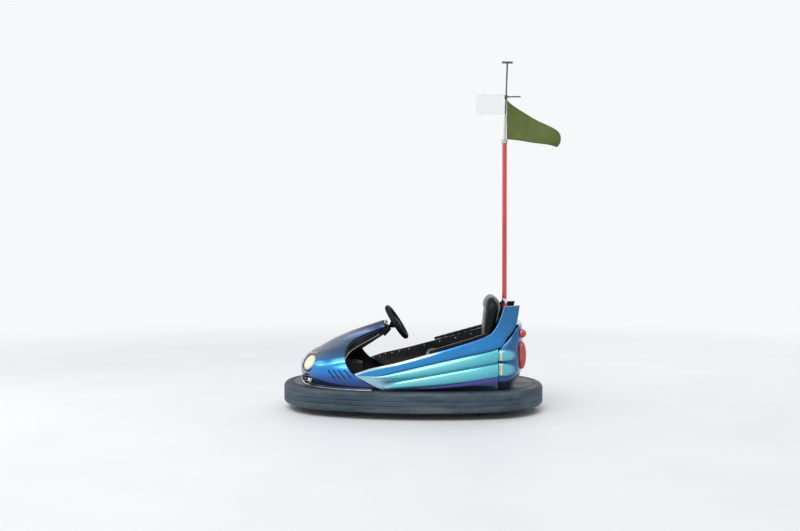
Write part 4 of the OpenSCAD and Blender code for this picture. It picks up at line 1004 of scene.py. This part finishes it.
# Columns: height, x of the front face, x of the rear face, half width as a share of the seat's
back_rows = [
    [base_top + 1, 0, -94, 0.842],
    [450, -8, -104, 0.842],
    [600, -20, -118, 0.842],
    [690, -29, -132, 0.838],
    [760, -36, -146, 0.815],
    [810, -43, -136, 0.755],
    [seat_top - 12, -54, -116, 0.64],
    [seat_top, -72, -98, 0.5],
]
row = through_rows(back_rows, np.linspace(0, 7, 80))[:, :, None]
h = full_turn(160)[None, :]
back_grid = np.stack([
    -504 + (row[:, 1] + row[:, 2]) / 2 + (row[:, 1] - row[:, 2] - 6) / 2 * bowed(np.cos(h), 0.45),
    (seat_hw * row[:, 3] - 4) * bowed(np.sin(h), 0.35),
    row[:, 0] * np.ones_like(h)], -1)
foot_cap, top_cap = (np.broadcast_to(back_grid[end].mean(0), (1, 160, 3)) for end in (0, -1))
back_grid = np.concatenate([foot_cap, back_grid, top_cap])
back_piece = make_grid("seat_back_cover", back_grid, vinyl, stands_for=["seat_back"], slot="vinyl_black")
flutes = np.linspace(-264, 264, 9)
fluted_half = 275
roll_z = 742.0
roll_row = 1 + np.argmin(np.abs(back_grid[1:-1, :, 2].mean(1) - roll_z))
roll_x = float(back_grid[roll_row, :, 0].mean())


def back_sewn(p):
    """Held points: the upright seams between the flutes, the seam under the top roll's front, and the edge."""
    on_seam = (off_seams(p, flutes) < 4.5) & (p[:, 2] < roll_z)
    under_roll = (np.abs(p[:, 2] - roll_z) < 4.5) & (p[:, 0] > roll_x + 12) & (np.abs(p[:, 1]) < fluted_half)
    return (p[:, 2] < base_top + 12) | on_seam | under_roll


def back_depth(p, n):
    """Upright troughs on the front, and a level one across it under the roll."""
    front = (n[:, 0] > 0.2) & (np.abs(p[:, 1]) < fluted_half)
    trough = 7.0 * np.exp(-((off_seams(p, flutes) / 8.0) ** 2)) * front * np.clip((roll_z - p[:, 2]) / 12, 0, 1)
    return trough + 5.0 * front * np.exp(-(((p[:, 2] - roll_z) / 8.0) ** 2))


stuff(back_piece, back_sewn)
dig_seams(back_piece, back_depth)

# Cowl lip and cap: a black lip with a bright edge hangs under each side of the tongue, and a beige bead
# closes the tongue's rear edge above the column.
lip_at = np.linspace(8 / 18, 16 / 18, 60)
edge_rows = nose_surface(lip_at, np.array([0.0, 1 / 24]))
edge_in = edge_rows[:, 0] - 10.6 * grid_normals(nose_surface(np.linspace(0, 1, 19), np.linspace(0, 1, 25)))[
    np.clip(np.rint(lip_at * 18).astype(int), 0, 18), 0]
for axis_number in range(3):
    edge_in[:, axis_number] = np.convolve(np.pad(edge_in[:, axis_number], 4, "edge"), np.ones(9) / 9, "valid")
edge_run = edge_rows[:, 1] - edge_rows[:, 0]
edge_run /= np.linalg.norm(edge_run, axis=1, keepdims=True)
lip_drop = 58 * np.sqrt(np.sin(np.pi * (18 * lip_at - 7) / 10))
lip_low = np.linspace(0, 1, 8)[:, None, None] * np.stack([0 * lip_drop, 0 * lip_drop, -lip_drop], -1)[None]
lip_metal = wear(Finish("lip_edge", Metallic=1.0), (0.7, 0.71, 0.73), (0.3, 0.3, 0.3), (0.85, 0.85, 0.86),
                 120, (0.2, 0.35), 0.1)


def first_of(count, node):
    """The first piece of a set stands for the node that holds them all."""
    return [node] if count == 1 else ()


lip_faces = [(edge_in + d * edge_run)[None] + lip_low - [0, 0, 1.2] for d in (1.4, 4.8)]
lip_foot = edge_in + 1.2 * edge_run - np.stack([0 * lip_drop, 0 * lip_drop, lip_drop - 1.5], -1)
for side, word in both_sides:
    make_wall("lip_" + word, *lip_faces, black_plastic, None, side,
              stands_for=first_of(side, "cowl_lip"), slot="lining_black")
    make_grid("lip_bead_" + word, cord_along(lip_foot * [1, side, 1], 2.6), lip_metal, slot="trim_metal")
cap_finish = wear(Finish("cap_plastic", Specular_IOR_Level=0.5), (0.5, 0.46, 0.38), (0.22, 0.19, 0.15),
                  (0.68, 0.65, 0.58), 60, (0.3, 0.5), 0.1)
cap_path = nose_surface(np.array([1.0, 1.0]), np.linspace(5 / 24, 19 / 24, 50))[0] - [13.5, 0, 3]
make_grid("tongue_bead", cord_along(cap_path, 8.8, 20), cap_finish, stands_for=["cowl_cap"], slot="cap_beige")
coat(black_plastic, "column_shroud")
column_paint = wear(Finish("column_paint", Metallic=0.2), (0.02, 0.02, 0.022), (0.05, 0.045, 0.04),
                    (0.13, 0.13, 0.135), 60, (0.32, 0.5), 0.15)
coat(column_paint, "steering_column")

# Head lamps: a cream plastic dome with faint rings pressed inside it, held by a dark blue bezel whose lip is
# rolled over.
def make_turned(name, profile, seat, finish, steps=96, ring=False, **more):
    """A turned shape put in its seat; a ring's profile closes on itself and others end on the axis."""
    return make_grid(name, turned(profile, steps), finish, seat, ring, **more)


lens_cream = Finish("lens_cream", Coat_Weight=0.8, Coat_Roughness=0.05, Specular_IOR_Level=0.5)
from_middle = lens_cream.field("middle")
lens_glow = lens_cream.ramp(
    from_middle, (0.0, (0.74, 0.66, 0.4)), (0.3, (0.9, 0.84, 0.62)), (0.72, (0.84, 0.76, 0.5)),
    (1.0, (0.42, 0.36, 0.22)))
lens_dust = lens_cream.noise(18.0, 4.0).rise(0.5, 0.75) * 0.35
lens_cream.wire("Base Color", lens_cream.blend(lens_dust, lens_glow, (0.6, 0.54, 0.4)))
lens_cream.wire("Roughness", 0.14 + 0.1 * lens_cream.noise(30.0, 3.0))
lens_cream.bump(from_middle.wave(9.0) * 0.5 + lens_cream.noise(60.0, 2.0) * 0.2, 0.2, 0.0006)
bezel_paint = wear(Finish("bezel_paint", Metallic=0.3, Coat_Weight=0.6, Coat_Roughness=0.1), (0.012, 0.018, 0.06),
                   (0.02, 0.02, 0.02), (0.1, 0.14, 0.24), 70, (0.25, 0.4), 0.1)
lens_radius = 61.6
radius = np.linspace(lens_radius, 0, 24)
dome = -120 + np.sqrt(142**2 - radius**2)
lens_profile = np.vstack([[0, -5.6], [58, -5.6], [lens_radius, -5.0], np.column_stack([radius, dome])])
bezel_profile = [(62.5, -29), (67.7, -29), (67.7, 9), (67.2, 12), (65.9, 13.7), (64.2, 13.7), (62.9, 12.2),
                 (62.5, 9)]
bowl_profile = [(0, -29.5), (62, -29.5), (62, -28), (0, -26)]
rings = np.repeat(lens_profile[:, :1] / lens_radius, 96, 1)
for side, word in both_sides:
    seat = facing(lamp_place, lamp_look, side)
    make_turned("lamp_lens_" + word, lens_profile, seat, lens_cream, fields={"middle": rings},
                stands_for=first_of(side, "headlamps"), slot="lamp_clear")
    make_turned("lamp_bezel_" + word, bezel_profile, seat, bezel_paint, ring=True,
                stands_for=first_of(side, "lamp_bezels"), slot="bezel_dark")
    make_turned("lamp_bowl_" + word, bowl_profile, seat, black_plastic, slot="bezel_dark")

# Grilles: a dark oval pocket under each head lamp with a chromed rim and three slats across it, and a small
# white fog lamp in a chromed ring at its outer end.
chrome = wear(Finish("chrome", Metallic=1.0), (0.74, 0.75, 0.77), (0.35, 0.34, 0.33), (0.9, 0.9, 0.9),
              140, (0.1, 0.22), 0.05)
pocket_blue = wear(Finish("pocket_paint", Coat_Weight=0.4, Coat_Roughness=0.15), (0.01, 0.016, 0.05),
                   (0.03, 0.03, 0.03), (0.08, 0.1, 0.16), 60, (0.35, 0.5), 0.1)
fog_glass = Finish("fog_lens", Coat_Weight=1.0, Coat_Roughness=0.03, Specular_IOR_Level=0.6)
fog_glass.wire("Base Color", fog_glass.ramp(
    fog_glass.field("middle"), (0.0, (0.92, 0.92, 0.86)), (0.6, (0.8, 0.82, 0.8)), (1.0, (0.34, 0.36, 0.4))))
fog_glass.bump(fog_glass.axis("Z").wave(260.0), 0.25, 0.0006)
# Columns: how far the pocket's outline is moved in, and its height; the first two rows are its back
pocket_steps = [
    (40.2, -23.5), (12.0, -23.5), (0.4, -23.5), (0.4, 3.0), (1.0, 5.2), (2.4, 5.8), (4.0, 5.0), (4.4, 2.5),
    (4.6, -18.5), (12, -19.6), (40.2, -19.8),
]
fog_r = np.linspace(12.6, 0, 12)
fog_dome = np.column_stack([fog_r, 2 + np.sqrt(29.8**2 - fog_r**2)])
fog_profile = np.vstack([[0, 0.4], [12.6, 0.4], fog_dome])
fog_ring = [(12.8, 0.4), (14.8, 0.4), (14.8, 28), (14.2, 29.4), (13.2, 29.4), (12.8, 28)]
fog_across, fog_along = 6, 36
a = full_turn(96)
tube = full_turn(10)[:, None, None]
around = full_turn(16)[:, None]
pocket = np.array([
    np.column_stack([(40 - 0.985 * i) * np.cos(a), np.maximum(62 - i, 22) * np.sin(a), np.full(96, h)])
    for i, h in pocket_steps])
rim_path = np.column_stack([38.0 * np.cos(a), 60.0 * np.sin(a), np.full(96, 4.4)])
out_from = np.column_stack([np.cos(a), np.sin(a), 0 * a])
pocket_rim = rim_path[None] + 2.0 * (np.cos(tube) * out_from[None] + np.sin(tube) * np.array([0, 0, 1]))
for side, word in both_sides:
    seat = facing(grille_place, grille_look, side)
    make_grid("grille_pocket_" + word, pocket, pocket_blue, seat, True,
              stands_for=first_of(side, "nose_grilles"), slot="grille_dark")
    make_grid("grille_rim_" + word, pocket_rim, chrome, seat, True, slot="grille_dark")
    for number, low in enumerate((-20.0, 0.0, 20.0)):
        reach = 57.5 * math.sqrt(1 - (abs(low) + 3) ** 2 / 38**2)
        slat_y = np.linspace(-reach, reach, 40)
        slat = np.stack([low + 2.2 * np.cos(around) + 0 * slat_y, 0 * around + slat_y,
                         -8 + 11 * bowed(np.sin(around), 0.6) + 0 * slat_y], -1)
        # The slats are cut back round the fog lamp.
        near_fog = np.hypot(slat[..., 0] - fog_across, slat[..., 1] - side * fog_along) < 16.5
        slat[..., 2] = np.where(near_fog, np.minimum(slat[..., 2], -12), slat[..., 2])
        make_grid("grille_slat_%s_%d" % (word, number), slat, chrome, seat, True, False, slot="grille_dark")
    fog_seat = seat @ Matrix.Translation((fog_across, side * fog_along, -19.5))
    make_turned("fog_lens_" + word, fog_profile, fog_seat, fog_glass, 48,
                fields={"middle": np.repeat(fog_profile[:, :1] / 12.6, 48, 1)},
                stands_for=first_of(side, "fog_lamps"), slot="lamp_white")
    make_turned("fog_ring_" + word, fog_ring, fog_seat, chrome, 48, ring=True, slot="grille_dark")

# Tail lamps and side markers: red domes pressed with level ribs on the rear corners, and pale amber bars
# that close the front ends of the lobes.
def ribbed_lens(name, deep, base, pale, pitch):
    """Coloured plastic over a ribbed back: the ribs lighten it and lift its surface a little."""
    looks = Finish(name, Coat_Weight=1.0, Coat_Roughness=0.05, Specular_IOR_Level=0.5)
    ribs = looks.axis("Z").wave(1 / pitch).rise(-0.8, 0.8)
    cloudy = looks.noise(14.0, 3.0).rise(0.4, 0.7) * 0.4
    looks.wire("Base Color", looks.blend(cloudy, looks.blend(ribs, deep, base), pale))
    looks.wire("Roughness", 0.12 + 0.1 * looks.noise(40.0, 3.0))
    looks.bump(ribs, 0.35, 0.0012)
    return looks


lens_red = ribbed_lens("lens_red", (0.2, 0.004, 0.006), (0.62, 0.016, 0.014), (0.8, 0.1, 0.06), 0.0075)
lens_amber = ribbed_lens("lens_amber", (0.62, 0.34, 0.12), (0.92, 0.66, 0.3), (0.95, 0.84, 0.6), 0.006)
tail_look = unit((-0.95, 0.3, 0))
bend = np.linspace(0, math.pi / 2, 20)[1:]
share = np.concatenate([[0.0, 0.96, 1.0, 1.0], np.cos(bend)])[:, None]
lift = np.concatenate([[-11.8, -11.8, -10.5, 3.0], 4.0 + 31.6 * np.sin(bend)])[:, None] + 0 * a
# Columns of both tables: height of the middle, half width and half height
tail_lamp_rows, marker_rows = ((594, 28, 32), (440, 36, 98)), ((444, 8, 31), (352, 8, 37))
marker_x, marker_stands_out = -649, 7.0
marker_layers = [(0.0, -14.5), (0.97, -14.5), (0.97, 18.5), (0.93, 20.6), (0.78, 22.0), (0.4, 22.7), (0.0, 22.8)]
round_end = np.linspace(0, math.pi, 16)
places = [(side, row) for side in (1, -1) for row in (0, 1)]
for number, (side, row) in enumerate(places, 1):
    middle_z, half_w, half_h = tail_lamp_rows[row]
    shape = np.stack([share * (half_h - 0.3) * np.cos(a), share * (half_w - 0.3) * np.sin(a), lift], -1)
    make_grid("tail_lens_%d" % number, shape, lens_red, facing((-796, 340, middle_z), tail_look, side),
              stands_for=first_of(number, "tail_lamps"), slot="lamp_red")
for number, (side, row) in enumerate(places, 1):
    middle_z, half_w, half_h = marker_rows[row]
    end_x, end_z = half_w * np.cos(round_end), half_w * np.sin(round_end)
    plan_x = np.concatenate([end_x, -end_x])
    plan_z = np.concatenate([end_z + half_h - half_w, half_w - half_h - end_z])
    base_y = float(body_half_width(marker_x, middle_z)) + marker_stands_out
    shape = np.array([
        np.column_stack([marker_x + plan_x * k, np.full(32, base_y + up),
                         middle_z + plan_z * (1 - (1 - k) * half_w / half_h) * (k > 0)])
        for k, up in marker_layers])
    make_grid("marker_lens_%d" % number, shape * [1, side, 1], lens_amber,
              stands_for=first_of(number, "side_markers"), slot="lamp_amber")

# Steering wheel: a thick rim of soft black foam with a grained skin and finger grips, three flat spokes
# and a padded boss, on a column that wears a folded rubber boot.
grip_skin = Finish("grip_skin", Specular_IOR_Level=0.1)
polished = grip_skin.noise(9.0, 4.0).rise(0.45, 0.7)
grip_skin.wire("Base Color", grip_skin.blend(polished * 0.5, (0.009, 0.009, 0.01), (0.028, 0.027, 0.026)))
grip_skin.wire("Roughness", 0.62 - 0.2 * polished)
grip_skin.bump(grip_skin.cells(700.0), 0.3, 0.0006)
tilt = math.radians(33)
wheel_seat = facing((120, 0, 643), (-math.cos(tilt), 0, math.sin(tilt)))
turn = full_turn(180)[None, :]
tube = full_turn(40)[:, None]
rim_radius, grip_count = 128, 27
grips = 0.5 - 0.5 * np.cos(grip_count * turn)
thick = 19.6 - 1.8 * grips * (0.5 - 0.5 * np.cos(tube))
rim_out = rim_radius + thick * np.cos(tube)
rim = np.stack([rim_out * np.cos(turn), rim_out * np.sin(turn), thick * np.sin(tube) + 0 * turn], -1)
make_grid("rim_foam", rim, grip_skin, wheel_seat, True, body="steering_wheel",
          stands_for=["steering_rim"], slot="wheel_black")
boss_profile = [(0, -259), (13.7, -259), (13.7, -52), (20, -51.6), (43, -6), (43.8, 2), (43.2, 8), (40.5, 12),
                (35, 14.2), (20, 14.8), (0, 14.9)]
make_turned("wheel_boss", boss_profile, wheel_seat, grip_skin, body="steering_wheel",
            stands_for=["steering_hub"], slot="wheel_black")
along_spoke = np.linspace(30, 108.5, 24)[None, :]
around = full_turn(32)[:, None]
half_w = 14.6 - 2.5 * np.sin(math.pi * (along_spoke - 30) / 78.5)
spoke = np.stack([along_spoke + 0 * around, half_w * bowed(np.cos(around), 0.4),
                  4.3 * bowed(np.sin(around), 0.5) + 0 * along_spoke], -1)
for number, degrees in enumerate((90, 210, 330)):
    seat = wheel_seat @ Matrix.Rotation(math.radians(degrees), 4, "Z")
    make_grid("wheel_spoke_%d" % number, spoke, column_paint, seat, True, False,
              body="steering_wheel", slot="wheel_black")
boot_rubber = wear(Finish("boot_rubber"), (0.016, 0.016, 0.017), (0.05, 0.048, 0.045), (0.08, 0.08, 0.08),
                   80, (0.55, 0.75), 0.4)
folds = np.linspace(0, 1, 60)
fold_count, boot_low, boot_high = 6, -133.8, -66.4
boot_r = 44 - 17 * folds - 3.2 * (0.5 - 0.5 * np.cos(2 * math.pi * fold_count * folds))
boot_up = boot_low + (boot_high - boot_low) * folds
boot_profile = np.vstack([[22.6, boot_low], np.column_stack([boot_r, boot_up]), [22.6, boot_high]])
make_turned("column_bellows", boot_profile, wheel_seat, boot_rubber, 80, ring=True,
            stands_for=["column_boot"], slot="boot_rubber")

# Floor and pedal: a ribbed rubber mat, dusty between its ribs, and a pressed steel pedal with a tread of
# punched dimples.
mat_rubber = Finish("mat_rubber", Specular_IOR_Level=0.3)
ribs = mat_rubber.axis("Y").wave(80.0).rise(-0.2, 0.5)
mat_dust = mat_rubber.noise(5.0, 5.0).rise(0.4, 0.75)
mat_dirt = (1.0 - ribs) * 0.5 + mat_dust * 0.4
mat_rubber.wire("Base Color", mat_rubber.blend(mat_dirt, (0.02, 0.02, 0.021), (0.085, 0.078, 0.068)))
mat_rubber.wire("Roughness", 0.72 + 0.15 * mat_dust)
mat_rubber.bump(ribs, 0.6, 0.002)
coat(mat_rubber, "floor_mat")
pedal_tread = Finish("pedal_tread", Metallic=0.9)
dimples = pedal_tread.cells(95.0).rise(0.15, 0.4)
pedal_tread.wire("Base Color", pedal_tread.blend(dimples, (0.22, 0.21, 0.2), (0.62, 0.62, 0.62)))
pedal_tread.wire("Roughness", 0.32 + 0.2 * pedal_tread.noise(30.0, 4.0))
pedal_tread.bump(dimples, 0.5, 0.0012)
coat(pedal_tread, "pedal")

# Mast: a red tube, its gloss worn where hands steady it, with a bright clip behind the seat; above its
# collar a plated sleeve carries a thin dark mast that ends in the pick-up shoe.
pole_red = Finish("pole_red", Coat_Weight=0.8, Coat_Roughness=0.08, Specular_IOR_Level=0.5)
chips = pole_red.noise(38.0, 6.0, 0.7, (1, 1, 0.35)).rise(0.63, 0.68)
rubbed = pole_red.noise(5.0, 4.0, 0.6, (1, 1, 0.4)).rise(0.5, 0.75)
red = pole_red.blend(rubbed * 0.45, (0.6, 0.036, 0.022), (0.38, 0.026, 0.02))
pole_red.wire("Base Color", pole_red.blend(chips * 0.8, red, (0.16, 0.12, 0.11)))
pole_red.wire("Roughness", 0.22 + 0.2 * rubbed + 0.2 * chips)
pole_red.wire("Coat Weight", 0.85 - 0.5 * rubbed)
pole_red.bump(pole_red.noise(70.0, 3.0) - 0.5 * chips, 0.1, 0.001)
coat(pole_red, "pole")
mast_metal = Finish("mast_metal", Metallic=0.9)
thin_part = mast_metal.axis("Z").rise(2.198, 2.212)
streak = mast_metal.noise(24.0, 5.0, 0.65, (1, 1, 0.15)).rise(0.5, 0.7)
plated = mast_metal.blend(streak * 0.6, (0.5, 0.48, 0.46), (0.26, 0.23, 0.21))
dark_mast = mast_metal.blend(streak * 0.5, (0.09, 0.088, 0.09), (0.2, 0.19, 0.19))
mast_metal.wire("Base Color", mast_metal.blend(thin_part, plated, dark_mast))
mast_metal.wire("Roughness", 0.3 + 0.18 * thin_part + 0.12 * streak)
coat(mast_metal, "upper_mast", "sign_bar")
pole_x = -692
clip_profile = [(17.7, -16), (20.5, -16), (21.5, -14), (21.5, 14), (20.5, 16), (17.7, 16)]
clip_seat = Matrix.Translation((pole_x, 0, 806))
make_turned("pole_clip", clip_profile, clip_seat, chrome, 64, ring=True, slot="trim_metal")

# Sign: a blank sheet of white plastic in a thin bright frame, screwed to the bar beside the mast.
sign_sheet = wear(Finish("sign_sheet", Specular_IOR_Level=0.4), (0.86, 0.86, 0.86), (0.7, 0.69, 0.66),
                  (0.9, 0.9, 0.9), 20, (0.35, 0.5), 0.05)
coat(sign_sheet, "sign_panel")
sign_low, sign_high = (np.array(v) / mm - [ahead / mm, 0, 0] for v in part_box("sign_panel"))
rear_x, low_z, front_x, high_z = sign_low[0] + 1, sign_low[2] + 1, sign_high[0] - 1, sign_high[2] - 1
sign_mid = (sign_low[1] + sign_high[1]) / 2
corners = [(x, sign_mid, z) for x, z in ((rear_x, low_z), (front_x, low_z), (front_x, high_z), (rear_x, high_z))]
for number, (first, second) in enumerate(zip(corners, corners[1:] + corners[:1])):
    make_grid("sign_frame_%d" % number, cord_along(np.linspace(first, second, 12), 2.4), chrome, slot="mast_silver")

# Flag: a plain olive cloth, hemmed all round, tied along the back of the thin mast. Its upper edge sags and
# it hangs in soft folds that deepen towards the free end.
flag_cloth = Finish("flag_cloth", Specular_IOR_Level=0.2, Sheen_Weight=0.25, Sheen_Roughness=0.4)
along_flag, down_flag = flag_cloth.field("along"), flag_cloth.field("down")
threads = along_flag.wave(360.0) * down_flag.wave(270.0)
faded = flag_cloth.noise(5.0, 4.0).rise(0.35, 0.7)
green = flag_cloth.blend(faded, (0.082, 0.118, 0.03), (0.128, 0.168, 0.05))
woven = flag_cloth.blend(threads.rise(-1.0, 1.0) * 0.3, green, (0.19, 0.24, 0.085))
off_ends, off_edges = ((share * (1.0 - share) * 4.0) for share in (along_flag, down_flag))
hem_line = 1.0 - off_ends.rise(0.0, 0.14) * off_edges.rise(0.0, 0.18)
flag_cloth.wire("Base Color", flag_cloth.blend(hem_line * 0.35, woven, (0.055, 0.08, 0.022)))
flag_cloth.wire("Roughness", 0.82 + 0.08 * faded)
flag_cloth.bump(threads + 2.0 * hem_line, 0.35, 0.0006)
u, v = np.linspace(0, 1, 150)[None, :], np.linspace(0, 1, 90)[:, None]
flag_long, flag_high, top_edge, foot_height, mast_lean = 400, 298, 2317.0, 2016.0, math.radians(2)
leaned = (top_edge - flag_high * v - foot_height) * math.tan(mast_lean)
# The free end is rounded by wear, and the cloth hangs towards it.
flag_x = pole_x - (6.6 + 8.9 * v) - leaned - 0.8 - flag_long * u * (1 - 0.07 * u**3 * np.abs(2 * v - 1) ** 2.5)
wrinkle = 2.2 * np.sin(31 * u + 9 * v + 2.2 * np.sin(6 * v)) * np.sin(math.pi * v) * u**0.5
flag_y = 26 * np.sin(np.radians(520 * u + 40 * v)) * u + wrinkle - 1.5
sag = 240 * u**0.76
flag_z = top_edge - sag - (flag_high + 62 * u**1.2 - sag) * v
cloth = np.stack([flag_x, flag_y, flag_z], -1)
from_hem = np.minimum.reduce([40 * u + 0 * v, 40 * (1 - u) + 0 * v, 30 * v + 0 * u, 30 * (1 - v) + 0 * u])
cloth_half = (0.55 + 0.5 * (from_hem < 1))[..., None] * grid_normals(cloth)
flag_piece = make_piece(
    "flag_cloth", np.stack([cloth + cloth_half, cloth - cloth_half]), wall_faces(90, 150), flag_cloth,
    fields={"along": [u + 0 * v] * 2, "down": [v + 0 * u] * 2}, stands_for=["flag"], slot="flag_cloth")
